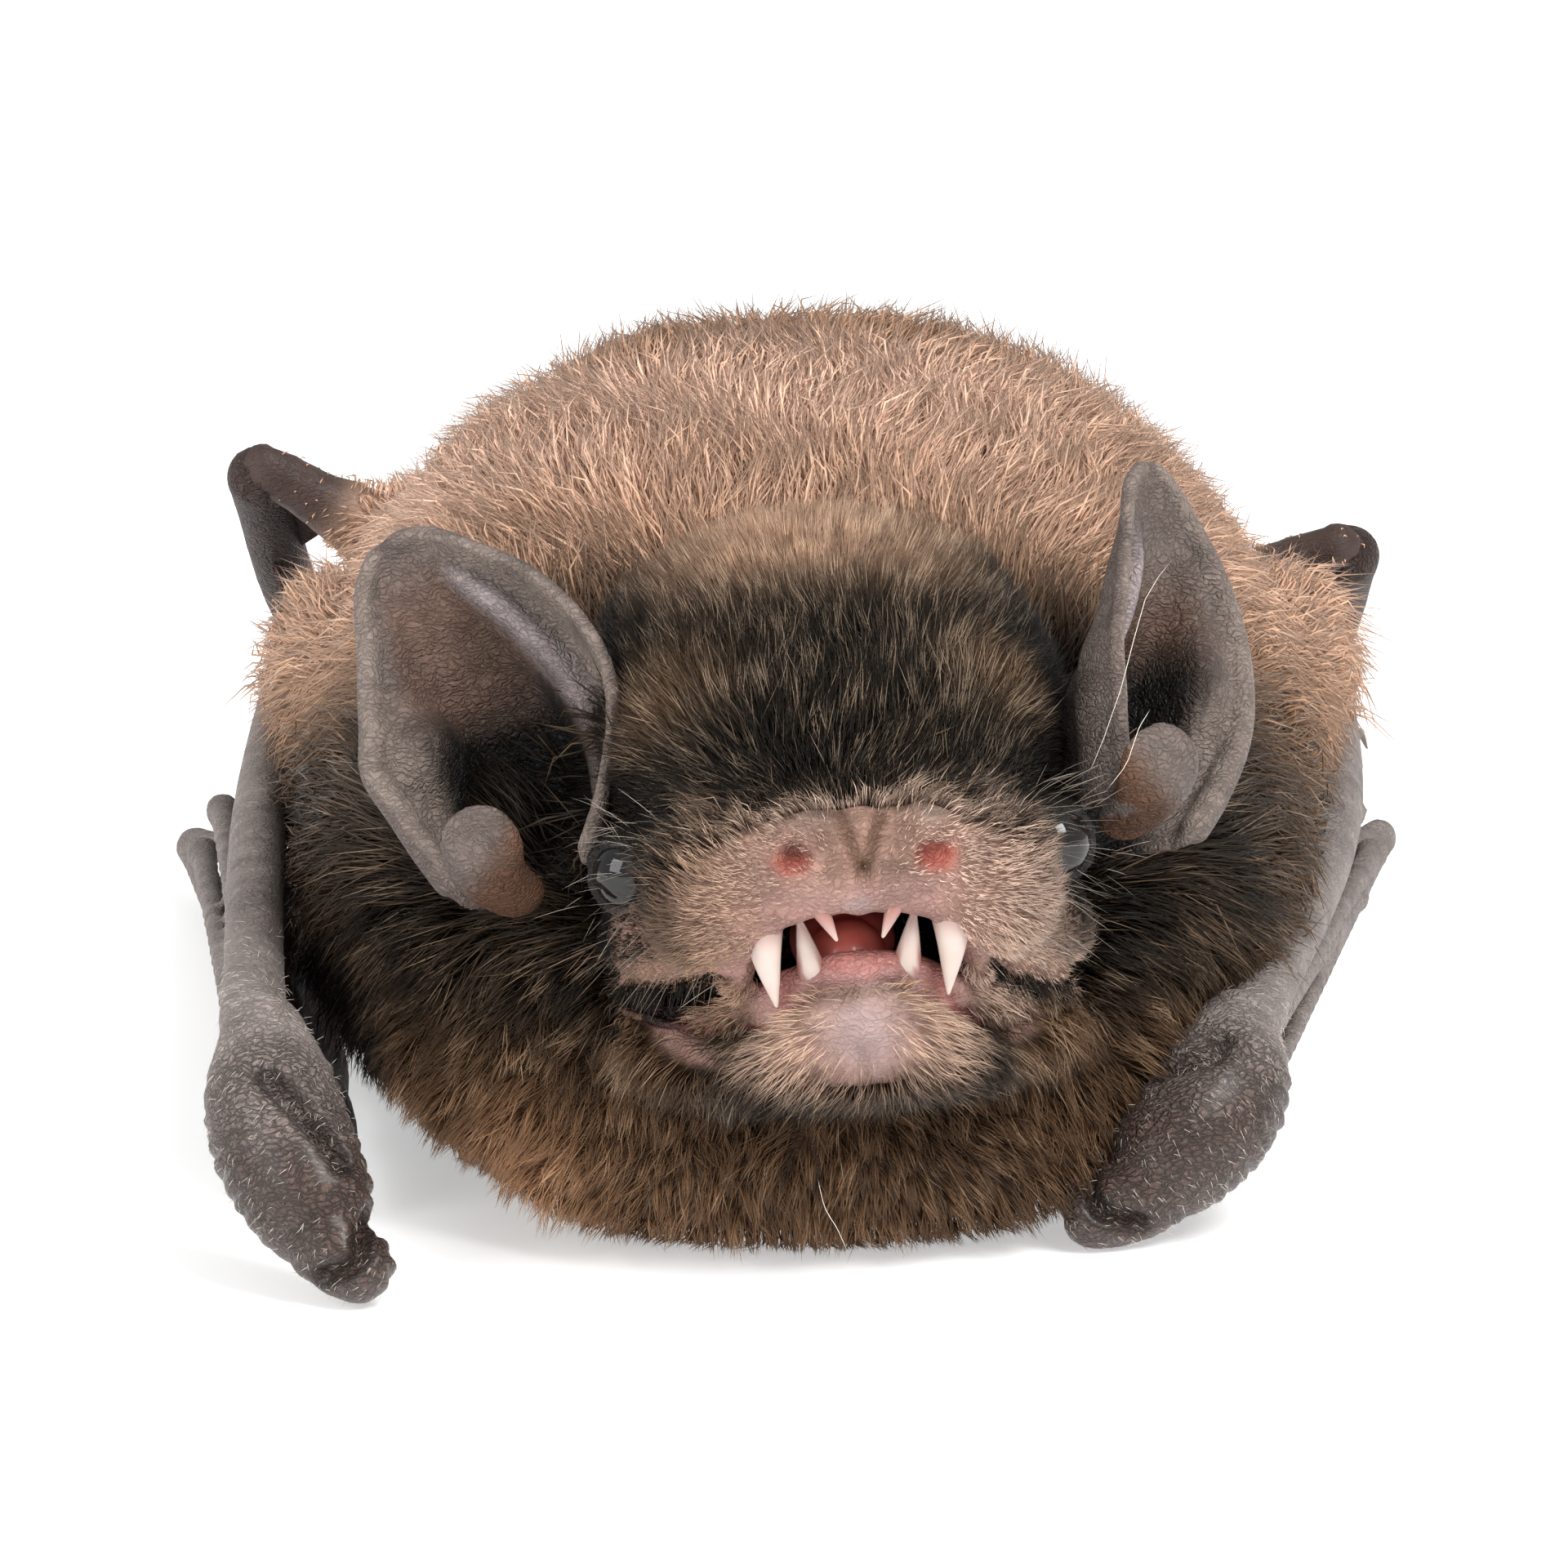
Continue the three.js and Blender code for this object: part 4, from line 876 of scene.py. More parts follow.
def headTones(face, patch, small):  # warm, dark and pale shares of the head's fur
    q, muzzle, nearNose, lipBand = face["q"], face["muzzle"], face["nearNose"], face["lipBand"]
    x, y, z = q.T
    crown = ramp(z, 2.6, 5.0) * ramp(y, -6.0, -1.5) * (1 - 0.2 * ramp(x, 0, 3))
    browPatch = np.maximum(spot(q, "rightBrow"), 0.8 * spot(q, "leftBrow"))
    cheekPatch = np.maximum(spot(q, "rightCheek"), spot(q, "leftCheek"))
    aroundChin = np.clip(face["chinFur"] * 2, 0, 1)
    # painted shade: the fur under the chin turns dark
    lowChinShade = ramp(-z, 5.4, 6.4)
    mouthCorner = (face["isHead"] * (y < -4.5) * ramp(face["belowLip"], -0.5, 0)
                   * fall(face["belowLip"], 0.8, 1.8))
    mouthCorner = mouthCorner * ramp(np.abs(x), 2.6, 3.6)
    # the ramps in x make the muzzle paler and less warm on its left side, towards the key lamp, and darker on
    # its right, away from it: painted light and painted shade
    warm = 0.08 + 0.45 * crown + 0.1 * patch + 0.6 * muzzle * (1 - nearNose) * (1 - 0.6 * ramp(x, 0, 3))
    warm = warm + 0.25 * browPatch + 0.2 * lipBand
    warm = warm + 0.35 * mouthCorner + 0.3 * aroundChin
    dark = np.clip(1.03 - 0.95 * crown - 0.1 * patch * small - 0.75 * cheekPatch - 0.55 * browPatch, 0, 1)
    dark = dark * (1 - muzzle) * (1 - aroundChin)
    darkMuzzle = (0.85 * face["sideShadow"] + 0.25 * small * (1 - nearNose) + 0.55 * nearEyes(q, 0.9, 2.7)
                  + 0.75 * ramp(-x, 3.3, 4.9) + 0.5 * ramp(x, 3.6, 5.4))
    dark = dark + muzzle * darkMuzzle * (1 - 0.8 * lipBand)
    dark = (dark + aroundChin * lowChinShade * 0.9) * (1 - 0.45 * mouthCorner)
    # painted light: the muzzle's pale share grows towards its left side, where the key lamp is
    pale = (muzzle * (0.4 + 0.35 * nearNose + 0.4 * ramp(x, 0, 2.5))
            + 0.6 * aroundChin * ramp(-z, 3.5, 4.5) * (1 - 0.8 * lowChinShade)
            + crown * (0.2 + 0.14 * small) + 0.35 * cheekPatch)
    return warm, dark, pale


def bodyTones(p, q, patch):  # the same three shares for the body's fur
    x, y, z = p.T
    wide = np.abs(x)
    nearEars = fall(earPlaces(q), 3.5, 8.5)
    back = ramp(z + 0.3 * np.maximum(y, -8), 6.0, 13.0) * ramp(y, -17, -9) * (1 - 0.75 * nearEars)
    lowSide = ramp(-x, 10, 13) * fall(z, 6.0, 8.5) * ramp(z, 1, 4)
    throat = np.maximum(fall(z, 4.0, 7.5) * ramp(-y, 8, 14), 0.8 * lowSide)
    edge = ramp(wide, 9.5, 12.0) * (1 - nearEars)
    # painted shade: the fur darkens in the armpit, between the arm and the body
    chestLight, armpitShade = spot(p, "chestLight"), spot(p, "armpitShade") * 1.6
    warm = 0.25 + 0.6 * back + 0.25 * throat + 0.15 * edge + 0.3 * chestLight
    # painted light: the wide flanks get lighter, mostly on the left side towards the key lamp
    dark = (1.0 - 1.2 * back - 0.5 * throat - 0.3 * ramp(y, 0, 14) - 0.35 * edge * (1 - ramp(-x, 9, 12) * 0.8)
            - 0.12 * patch - 0.5 * chestLight + 0.12 * throat * ramp(x, 0, 4))
    dark = np.maximum(np.clip(dark, 0, 1), np.clip(armpitShade, 0, 1))
    # paler on top of the back: the fur's own pale tone, with painted light on the top of the back added to it
    pale = (1.2 * back * (1 - 0.15 * patch) * (0.6 + 0.4 * ramp(y, -9, -1))
            + 0.15 * lowSide + 0.12 * chestLight)
    pale *= ((1 - 0.75 * ramp(y, 2, 8) * fall(wide, 4, 9)) * (1 - 0.45 * ramp(wide, 8, 13))
             * (1 - 0.5 * spot(p, "leftBack")))
    return warm, dark, pale


def coatTones(p, face):  # warm, dark and pale shares, the same for the skin and the hairs on it
    patch = 0.5 + 0.5 * np.sin(p @ np.array((0.9, 0.7, 0.8)) + np.sin(p @ np.array((-0.7, 1.1, 0.5))) * 1.5)
    small = 0.5 + 0.5 * np.sin(p @ np.array((3.1, 2.3, 2.7)) + np.sin(p @ np.array((-2.2, 3.4, 1.9))) * 1.5)
    pairs = zip(headTones(face, patch, small), bodyTones(p, face["q"], patch))
    return [np.clip(np.where(face["isHead"], onHead, onBody), 0, 1) for onHead, onBody in pairs]


def coatFlow(p, n, face, brow, low, chest, flank):  # the way the hairs lie along the skin
    q, muzzle, chinFur = face["q"], face["muzzle"], face["chinFur"]
    x, _, z = q.T
    ahead, down = 4.5 - 2.5 * brow - 3 * chinFur, (z + 0.8) * 1.1 + brow * 3.5 - low * 3
    flowHead = np.stack([x * (0.9 + 0.5 * muzzle), ahead, down], -1)
    out = q - np.array((0, -12.0, -1.6))
    flowHead = unit(np.where((muzzle > 0.5)[:, None], out * (1.2, 0.8, 0.9), flowHead))
    fromChin = unit(q - np.array((0, -10.5, -4.3)))
    fromChin[:, 2] = np.minimum(fromChin[:, 2], -0.25)
    fromChin = fromChin * (1, 0.3, 1) * (chinFur * 1.6)[:, None]
    flowHead = unit(flowHead * (1 - chinFur)[:, None] + fromChin) @ headTurn.T
    sideways, back = p[:, 0] * 0.02 * (1 + 2.5 * chest), 1.0 - 1.35 * chest
    flowBody = unit(np.stack([sideways, back, -0.2 - 0.35 * flank - 0.8 * chest], -1))
    return np.where(face["isHead"][:, None], flowHead, flowBody)


def coatLie(p, n, kind):  # how the hairs grow at each place
    face = faceMasks(p, kind)
    q, isHead, muzzle, chinFur = face["q"], face["isHead"], face["muzzle"], face["chinFur"]
    nearNose, lipBand, belowLip = face["nearNose"], face["lipBand"], face["belowLip"]
    x, y, z = q.T
    px, py, pz = p.T
    fromEars = earPlaces(q)
    crown, brow = ramp(z, 2.2, 4.8) * ramp(y, -6.0, -1.5), ramp(-y, 2.0, 7.0) * ramp(z, 0.4, 1.6)
    low = ramp(-z, 3.5, 5.5)
    chest = ramp(-py, 11, 16) * fall(pz, 5, 10)
    flank, under = ramp(np.abs(n[:, 0]), 0.4, 0.9), ramp(-n[:, 2], 0.2, 0.8)
    nearEar = isHead * fall(fromEars, 1.8, 4.2)
    nearEye = isHead * nearEyes(q, 1.6, 3.4, (0, -0.7, 0.2))
    knees = legBare(p)
    limb = ramp(np.abs(px), 8.8, 12.0) * ramp(py, 9, 14)
    # painted shade: the head's fur darkens in front of the ears
    nearEarShade = isHead * fall(fromEars, 2.4, 4.6)
    belowMouth = isHead * (y < -4.5) * (belowLip > -0.2)
    bareShare = np.maximum(0.55 * nearNose * muzzle + 0.6 * chinFur, 0.75 * lipBand)

    lengthHead = coat["headLength"] * (1 + 0.2 * brow) * (1 - crown) + coat["crownLength"] * crown
    lengthHead = lengthHead * (1 - 0.6 * nearEar) * (1 - 0.82 * nearEye)
    muzzleLength = coat["muzzleLength"] * (1 + 0.7 * ramp(np.abs(x), 2.5, 5)) * (1 - 0.72 * nearEye)
    lengthHead = lengthHead * (1 - muzzle) + muzzleLength * (1 - 0.45 * nearNose) * muzzle
    lengthHead = lengthHead * (1 - chinFur) + coat["chinLength"] * chinFur
    lengthHead = lengthHead * (1 - 0.6 * lipBand) * (1 - 0.65 * fall(belowLip, 0.1, 0.8) * (belowMouth > 0))
    bodyLength = coat["bodyLength"] * (1 - 0.15 * flank) + (coat["chestLength"] - coat["bodyLength"]) * chest
    bodyLength = bodyLength * (1 - 0.55 * under) * (1 - 0.7 * limb) * (1 - 0.7 * knees)
    bodyLength = bodyLength * (1 - 0.25 * ramp(py, 18, 28))

    liftHead = (0.34 + 0.46 * crown + 0.12 * brow - 0.06 * muzzle - 0.1 * nearEar
                + 0.15 * chinFur - 0.12 * nearEye)
    liftBody = 0.3 - 0.12 * flank + 0.25 * chest - 0.12 * limb - 0.15 * knees
    headDensity = coat["headDensity"] + (coat["muzzleDensity"] - coat["headDensity"]) * muzzle
    bodyDensity = coat["bodyDensity"] * (1 - 0.5 * under) * (1 - 0.6 * knees) * (1 + 0.9 * chest)
    headWidth = coat["headWidth"] + (coat["muzzleWidth"] - coat["headWidth"]) * np.maximum(muzzle, chinFur)
    headClump = coat["headClump"] - 0.25 * np.maximum(muzzle, np.clip(chinFur * 2, 0, 1))
    growHead = (1 - face["bare"]) * (1 - face["jawSkin"] * 0.9) * ramp(fromEars, 1.5, 2.3)
    growBody = np.where(kind == "trunk", 1 - 0.85 * ramp(knees, 0.6, 1), 0.0)
    warm, dark, pale = coatTones(p, face)
    return {
        "face": face, "isHead": isHead, "nearEarShade": nearEarShade,
        "flow": coatFlow(p, n, face, brow, low, chest, flank),
        "length": np.where(isHead, lengthHead, bodyLength), "lift": np.where(isHead, liftHead, liftBody),
        "density": np.where(isHead, headDensity * (1 - bareShare), bodyDensity)
                   * np.where(isHead, growHead, growBody),
        "width": np.where(isHead, headWidth, coat["bodyWidth"] * (1 - 0.35 * chest)),
        "clump": np.where(isHead, headClump, coat["bodyClump"] + 0.3 * chest),
        "spread": np.where(isHead, coat["headSpread"], coat["bodySpread"] + 0.12 * chest),
        "contrast": np.where(isHead, 1 - 0.3 * muzzle, 0.7),
        "tones": np.stack([warm, np.maximum(dark, nearEarShade), pale], -1)}


def triangulate(obj):
    obj.data.calc_loop_triangles()
    tris = np.empty(len(obj.data.loop_triangles) * 3, np.int32)
    obj.data.loop_triangles.foreach_get("vertices", tris)
    return tris.reshape(-1, 3)


def plantRoots(obj, kinds, density):  # scatters roots over the skin, more where the density is higher
    co, n, tris = coordsOf(obj), normalsOf(obj), triangulate(obj)
    a, b, c = co[tris[:, 0]], co[tris[:, 1]], co[tris[:, 2]]
    area = np.linalg.norm(np.cross(b - a, c - a), axis=1) / 2
    count = rng.poisson(area * density[tris].mean(1) * (1.0))
    pick = np.repeat(np.arange(len(tris)), count)
    u, v = rng.random(len(pick)), rng.random(len(pick))
    flip = u + v > 1
    u[flip], v[flip] = 1 - u[flip], 1 - v[flip]
    w = 1 - u - v
    place = a[pick] * w[:, None] + b[pick] * u[:, None] + c[pick] * v[:, None]
    corner = tris[pick]
    normal = unit(n[corner[:, 0]] * w[:, None] + n[corner[:, 1]] * u[:, None] + n[corner[:, 2]] * v[:, None])
    return place, normal, kinds[corner[:, 0]]


def clumpLean(place, lean, share):  # neighbouring hairs lean together at their tips
    chosen = rng.choice(len(place), max(int(len(place) * coat["leaders"]), 8), replace=False)
    tree = KDTree(len(chosen))
    for k in chosen:
        tree.insert(place[k], int(k))
    tree.balance()
    leader = np.array([tree.find(p)[1] for p in place])
    return leader, (place[leader] + lean[leader] - place - lean) * share[:, None]


def unwrap(p):  # the skin unrolled: the head about its long axis, the body about the spine
    q = toHead(p)
    polar = np.arccos(np.clip(-unit(q - (0, -1, -0.5))[:, 1], -1, 1)) / np.pi
    turn = np.arctan2(q[:, 2] + 0.5, q[:, 0])
    headMap = 0.5 + 0.47 * np.stack([polar * np.cos(turn), polar * np.sin(turn)], -1)
    around = np.arctan2(p[:, 0], p[:, 2] - 7) / (2 * np.pi) + 0.5
    bodyMap = np.stack([0.02 + 0.96 * around, 0.02 + 0.96 * (p[:, 1] + 25) / 80], -1)
    return np.where(((np.linalg.norm(q, axis=1) < 13) & (q[:, 1] < 4))[:, None], headMap, bodyMap)


def setValues(mesh, name, kind, values):  # an attribute on the points, one value or four to each
    attribute = mesh.attributes.new(name, kind, "POINT")
    attribute.data.foreach_set("value" if kind == "FLOAT" else "color",
                               np.asarray(values, np.float32).ravel())


def hairTriangles(count, rings, each):
    last = 1 + 3 * (rings - 1)
    pattern = []
    for k in range(3):
        j = (k + 1) % 3
        pattern += [(1 + j, 1 + k, 0), (last + k, last + j, each - 1)]
        for r in range(rings - 1):
            a, b = 1 + 3 * r, 4 + 3 * r
            pattern += [(a + k, a + j, b + j), (a + k, b + j, b + k)]
    return (np.array(pattern)[None] + np.arange(count)[:, None, None] * each).reshape(-1, 3)


def underTop(z):  # hairs stay off the floor, and lie down under the top of the box
    top, soft = cadBox[1][2] / mm - coat["topGap"], coat["settle"]
    over = np.maximum((z - top + soft) / soft, 0)
    return np.clip(z, coat["floorGap"], top - soft) + np.tanh(over) * soft


def hairMesh(name, path, width, tones, shade):  # closed three-sided hairs, pointed at both ends
    count, steps = path.shape[:2]
    rings = steps - 2
    pick = unit(rng.normal(size=(count, 3)))
    angle = np.arange(3) * 2 * np.pi / 3
    parts = [path[:, :1]]
    for r in range(1, steps - 1):
        along = unit(path[:, r + 1] - path[:, r - 1])
        sideways = unit(np.cross(along, pick))
        other = np.cross(along, sideways)
        radius = width / 2 * (1.0 if rings == 1 else math.sin(math.pi * (0.18 + 0.62 * r / rings)))
        ring = (sideways[:, None] * np.cos(angle)[None, :, None]
                + other[:, None] * np.sin(angle)[None, :, None])
        parts.append(path[:, r:r + 1] + ring * radius[:, None, None])
    verts = np.concatenate(parts + [path[:, -1:]], axis=1)
    each = verts.shape[1]
    verts = verts.reshape(-1, 3)
    verts[:, 2] = underTop(verts[:, 2])
    tris = hairTriangles(count, rings, each)
    mesh = bpy.data.meshes.new(name)
    mesh.vertices.add(len(verts))
    mesh.vertices.foreach_set("co", (verts * mm).astype(np.float32).ravel())
    mesh.loops.add(len(tris) * 3)
    mesh.loops.foreach_set("vertex_index", tris.astype(np.int32).ravel())
    mesh.polygons.add(len(tris))
    mesh.polygons.foreach_set("loop_start", np.arange(0, len(tris) * 3, 3, dtype=np.int32))
    mesh.polygons.foreach_set("use_smooth", np.ones(len(tris), bool))
    mesh.update(calc_edges=True)
    share = np.concatenate([[0], np.repeat(np.arange(1, rings + 1) / (rings + 1), 3), [1]])
    tone = np.ones((count, each, 4), np.float32)
    tone[:, :, :3] = tones[:, None, :]
    tone[:, :, 3] = share[None]
    setValues(mesh, "tones", "FLOAT_COLOR", tone)
    setValues(mesh, "shade", "FLOAT", np.repeat(shade, each))
    sideShare = np.concatenate([[0.5], np.tile((0.0, 1.0, 0.5), rings), [0.5]])
    upShare = share + np.where(sideShare == 0.5, 0.12, 0) * (share < 1) * (share > 0)
    patch = np.stack([sideShare, upShare], -1) * coat["patch"] - coat["patch"] / 2
    uv = (unwrap(path[:, 0])[:, None] + patch[None]).reshape(-1, 2)[tris.ravel()]
    mesh.uv_layers.new(name="OFBake").data.foreach_set("uv", uv.astype(np.float32).ravel())
    obj = bpy.data.objects.new(name, mesh)
    bpy.context.scene.collection.objects.link(obj)
    return obj


def growCoat():
    skinCo, skinNormals = coordsOf(skin), normalsOf(skin)
    place, normal, kind = plantRoots(skin, skinKind, coatLie(skinCo, skinNormals, skinKind)["density"])
    lie = coatLie(place, normal, kind)
    mingled = place + rng.normal(size=place.shape) * coat["mixing"]  # neighbouring colours mingle
    tones = coatLie(mingled, normal, kind)["tones"]
    flow, lift, count = lie["flow"], lie["lift"][:, None], len(place)
    tangent = unit(flow - normal * np.sum(flow * normal, axis=1)[:, None])
    swirl = np.sin(place @ np.array((0.9, 0.5, 0.7))) * 0.3 + np.sin(place @ np.array((-2.1, 1.7, 2.4))) * 0.2
    scatter = rng.normal(size=place.shape) * lie["spread"][:, None]
    tangent = unit(tangent + np.cross(normal, tangent) * swirl[:, None] + scatter)
    length = (lie["length"] * rng.uniform(0.6, 1.15, count))[:, None]
    startLean = unit(normal * (lift + 0.3) + tangent * (0.8 - lift))
    endLean = unit(normal * (lift - 0.12) + tangent * (1.0 - lift))
    middle = place + startLean * length * 0.45
    tip = middle + endLean * length * 0.55
    leader, pull = clumpLean(place, tip - place, lie["clump"] * rng.uniform(0.3, 1.3, count))
    pull *= np.minimum(1, 0.6 * length / np.maximum(np.linalg.norm(pull, axis=1, keepdims=True), 1e-6))
    curl = rng.normal(size=place.shape) * length * 0.05
    path = np.stack([place - normal * 0.1, middle + pull * 0.25 + curl, tip + pull], 1)
    shade = rng.random(count)
    shade = 0.5 + ((0.5 * shade + 0.5 * shade[leader]) - 0.5) * 1.35 * lie["contrast"]
    # painted shade: hairs in front of the ears are made darker
    shade = np.clip(shade - 0.85 * lie["nearEarShade"], 0, 1)
    width = lie["width"] * rng.uniform(0.75, 1.3, count)
    pieces = []
    isHead, isTop = lie["isHead"], normal[:, 2] > 0.35
    regions = (("headCoat", isHead, 0), ("backCoat", ~isHead & isTop, 1), ("flankCoat", ~isHead & ~isTop, 1))
    for name, inRegion, axis in regions:
        chosen = np.flatnonzero(inRegion)
        chosen = chosen[np.argsort(place[chosen, axis])]
        share = max(math.ceil(len(chosen) / coat["pieceLimit"]), 1)
        for i, part in enumerate(np.array_split(chosen, share)):
            pieces.append(hairMesh(f"{name}{i + 1}", path[part], width[part], tones[part], shade[part]))
    print("hairs", count, "head", int(isHead.sum()), "in", len(pieces), "pieces")
    return pieces


coatPieces = growCoat()

print("stage: fringe, lashes, whiskers and the fine hairs of the wrists")
longHair = {
    "lipFringe": {"count": 300, "length": (0.35, 0.9), "width": (0.014, 0.022), "tone": (0.2, 1.0, 0.0)},
    "lashes": {"count": 14, "length": (0.6, 1.9), "width": (0.012, 0.019), "tone": (0.2, 0.2, 0.5)},
    "whiskers": {"count": 150, "length": (0.6, 1.9), "width": (0.011, 0.016), "tone": (0.2, 0.2, 0.6)},
    "wristHairs": {"density": 9, "length": (0.25, 0.42), "width": (0.01, 0.014), "tone": (0.0, 0.0, 1.0)},
    "strays": {"width": 0.02, "tone": (0.0, 0.0, 1.0), "places": [  # single hairs, in the head's axes
        [(8.4, -6, 5.3), (7.75, -6, 4.5), (7.3, -6, 3.25), (6.95, -6, 2.15), (6.3, -6, 0.6), (6.0, -6, 0.05)],
        [(7.6, -6.4, 1.7), (7.3, -6.4, 1.25), (6.95, -6.4, 0.4), (6.35, -6.4, -0.3)],
        [(-1.2, -7.6, -9.0), (-1.05, -7.6, -9.8), (-0.8, -7.6, -10.3), (-0.55, -7.6, -11.0)]]},
}


def bowedHairs(name, root, direction, droop, steps=5):
    hair, count = longHair[name], len(root)
    length, width = rng.uniform(*hair["length"], count), rng.uniform(*hair["width"], count)
    t = np.linspace(0, 1, steps)[None, :, None]
    path = root[:, None] + (direction[:, None] * t + droop[:, None] * t**2) * length[:, None, None]
    return path, width, np.tile(hair["tone"], (count, 1))


def headHairs(name, mark, root, lean, droop, fairness=1):  # root and lean are in the head's axes
    hairs = bowedHairs(name, fromHead(root), unit(lean) @ headTurn.T, np.broadcast_to(droop, root.shape))
    return hairMesh(name + mark, *hairs, rng.random(len(root)) ** fairness)


def directions(count, x, y, z):  # one direction for each hair, from numbers or rows of numbers
    return np.stack([np.broadcast_to(value, count) for value in (x, y, z)], -1)


def growFaceHairs(side, mark):
    lip = curveThrough(head["upperLip"][:7] if side < 0 else head["upperLip"][:7:-1])
    count = longHair["lipFringe"]["count"]
    share = rng.uniform(0.02, 0.7, count)
    root = readCurve(lip, share)[0] + rng.normal(size=(count, 3)) * (0.06, 0.06, 0.08) + (0, 0, 0.12)
    lean = directions(count, side * 0.35, -0.55, -0.75) + rng.normal(size=root.shape) * 0.22
    droop = np.tile((side * 0.1, 0.15, -0.4), (count, 1)) @ headTurn.T
    pieces = [headHairs("lipFringe", mark, root, lean, droop, 2)]

    count = longHair["lashes"]["count"]
    angle = rng.uniform(0, 2 * np.pi, count)
    c, s = np.cos(angle), np.sin(angle)
    around = np.stack([c * side * 0.6, -np.abs(c) * 0.35 - 0.15, s], -1)
    root = eyePlaces[(side + 1) // 2] + unit(around)
    lean = around * (0.7, 1, 0.9) + (side * 0.75, -0.5, 0.1) + rng.normal(size=root.shape) * 0.3
    pieces.append(headHairs("lashes", mark, root, lean, (0, 0.1, -0.12)))

    count = longHair["whiskers"]["count"]
    x = side * (5.4 - 2.6 * rng.random(count) ** 1.6)
    root = directions(count, x, -10.2 + (np.abs(x) / 5.0) ** 3 * 4.2, rng.uniform(-3.6, 0.1, count))
    lean = directions(count, side * np.abs(x) * 0.28, -0.9, (root[:, 2] + 1.6) * 0.5)
    lean = lean + rng.normal(size=root.shape) * 0.35
    pieces.append(headHairs("whiskers", mark, root, lean, (0, 0.1, -0.1)))
    return pieces


def growWristHairs():
    co = coordsOf(skin)
    wrists = np.zeros(len(co))
    for side in outward:
        limb = limbs[side]
        for a, b in zip(limb["pad"][:-1], limb["pad"][1:]):
            wrists = np.maximum(wrists, fall(nearLine(co, a, b), 2.0, 2.6))
        onArm = 0.6 * fall(nearLine(co, limb["wrist"], limb["midArm"]), 1.4, 1.8) * ramp(-co[:, 1], 12, 18)
        wrists = np.maximum(wrists, onArm)
    density = wrists * (skinKind == "arm") * longHair["wristHairs"]["density"]
    root, normal, _ = plantRoots(skin, skinKind, density)
    count = len(root)
    down = unit(directions(count, np.sign(root[:, 0]) * 0.7, -0.3, -0.7) + rng.normal(size=root.shape) * 0.35)
    lean = unit(normal * 0.45 + down - normal * np.sum(down * normal, axis=1)[:, None])
    hairs = bowedHairs("wristHairs", root - normal * 0.04, lean, -normal * 0.25, steps=4)
    return hairMesh("wristHairs", *hairs, rng.uniform(0.7, 1, count))


def growStrays():
    hair, strays = longHair["strays"], []
    for points in longHair["strays"]["places"]:
        path = curveThrough(fromHead(points), 7)[0]
        strays.append(path[np.linspace(0, len(path) - 1, 9).astype(int)])
    count = len(strays)
    tones, width = np.tile(hair["tone"], (count, 1)), np.full(count, hair["width"])
    return hairMesh("strayHairs", np.array(strays), width, tones, np.ones(count))


longHairPieces = growFaceHairs(-1, "Right") + growFaceHairs(1, "Left") + [growWristHairs(), growStrays()]

print("stage: markings on the skin")


def earShares(side):
    u, v = np.meshgrid(np.linspace(0, 1, 50), np.linspace(0, 1, 60))
    places = earSurface(side)(u.ravel(), v.ravel())
    grid = places.reshape(60, 50, 3)
    normals = unit(np.cross(np.gradient(grid, axis=1), np.gradient(grid, axis=0)))
    inward = grid.mean(axis=1, keepdims=True) - grid
    normals *= np.sign(np.sum(normals * inward))  # towards the hollow of the ear
    tree = KDTree(len(places))
    for i, place in enumerate(places):
        tree.insert(place, i)
    tree.balance()
    return tree, places, normals.reshape(-1, 3), u.ravel(), v.ravel()


def earMarks(q, chosen):  # shares on the ears: painted shade in the hollow, brown, a painted highlight on the ridge, and the rim
    hollowShade, brown, ridge, rim = (np.zeros(len(q)) for _ in range(4))
    for side in outward:
        tree, places, normals, u, v = earShares(side)
        mine = np.flatnonzero(chosen & ((q[:, 0] > 0) == (side == "left")))
        near = np.array([tree.find(p)[1] for p in q[mine]])
        lateral, along = u[near], v[near]
        away = q[mine] - places[near]
        facing = np.sum(away * normals[near], axis=1) > -0.02
        stalk, middle, top = ears[side]["tragus"]
        tragus = np.minimum(nearLine(q[mine], stalk, middle), nearLine(q[mine], middle, top)) < 1.25
        isTragus = tragus & (np.sum(away**2, axis=1) > 0.2)
        across = ramp(lateral, 0.27, 0.36) * fall(lateral, 0.8, 0.93) * facing * ~isTragus
        # painted shade: the lower part of the ear's hollow goes nearly black
        hollowShade[mine] = across * fall(along, 0.46, 0.64)
        inwards, downwards = abs(middle[0]) - np.abs(q[mine, 0]), middle[2] - q[mine, 2]
        tragusBase = isTragus * ramp(1.2 * inwards + 0.7 * downwards, -0.7, 0.5)
        brownEnd = ears[side]["brownEnd"]
        brown[mine] = np.maximum(0.6 * across * fall(along, brownEnd, brownEnd + 0.18), 0.95 * tragusBase)
        # painted highlight: the crest of the ridge gets a paler tone
        crest = np.exp(-(((lateral - 0.26) / 0.05) ** 2)) * facing * ramp(along, 0.3, 0.5)
        ridge[mine] = crest * fall(along, 0.75, 0.9)
        outerEdge = 0.9 - 0.1 * fall(along, 0.3, 0.6)
        edges = np.maximum(ramp(lateral, outerEdge, outerEdge + 0.07), 0.9 * fall(lateral, 0.15, 0.24))
        rim[mine] = edges * facing * ~isTragus
    return hollowShade, brown, ridge, np.clip(rim, 0, 1)


def addTones(obj, name, *channels):
    tone = np.zeros((len(obj.data.vertices), 4), np.float32)
    for k, channel in enumerate(channels):
        tone[:, k] = np.clip(channel, 0, 1)
    setValues(obj.data, name, "FLOAT_COLOR", tone)


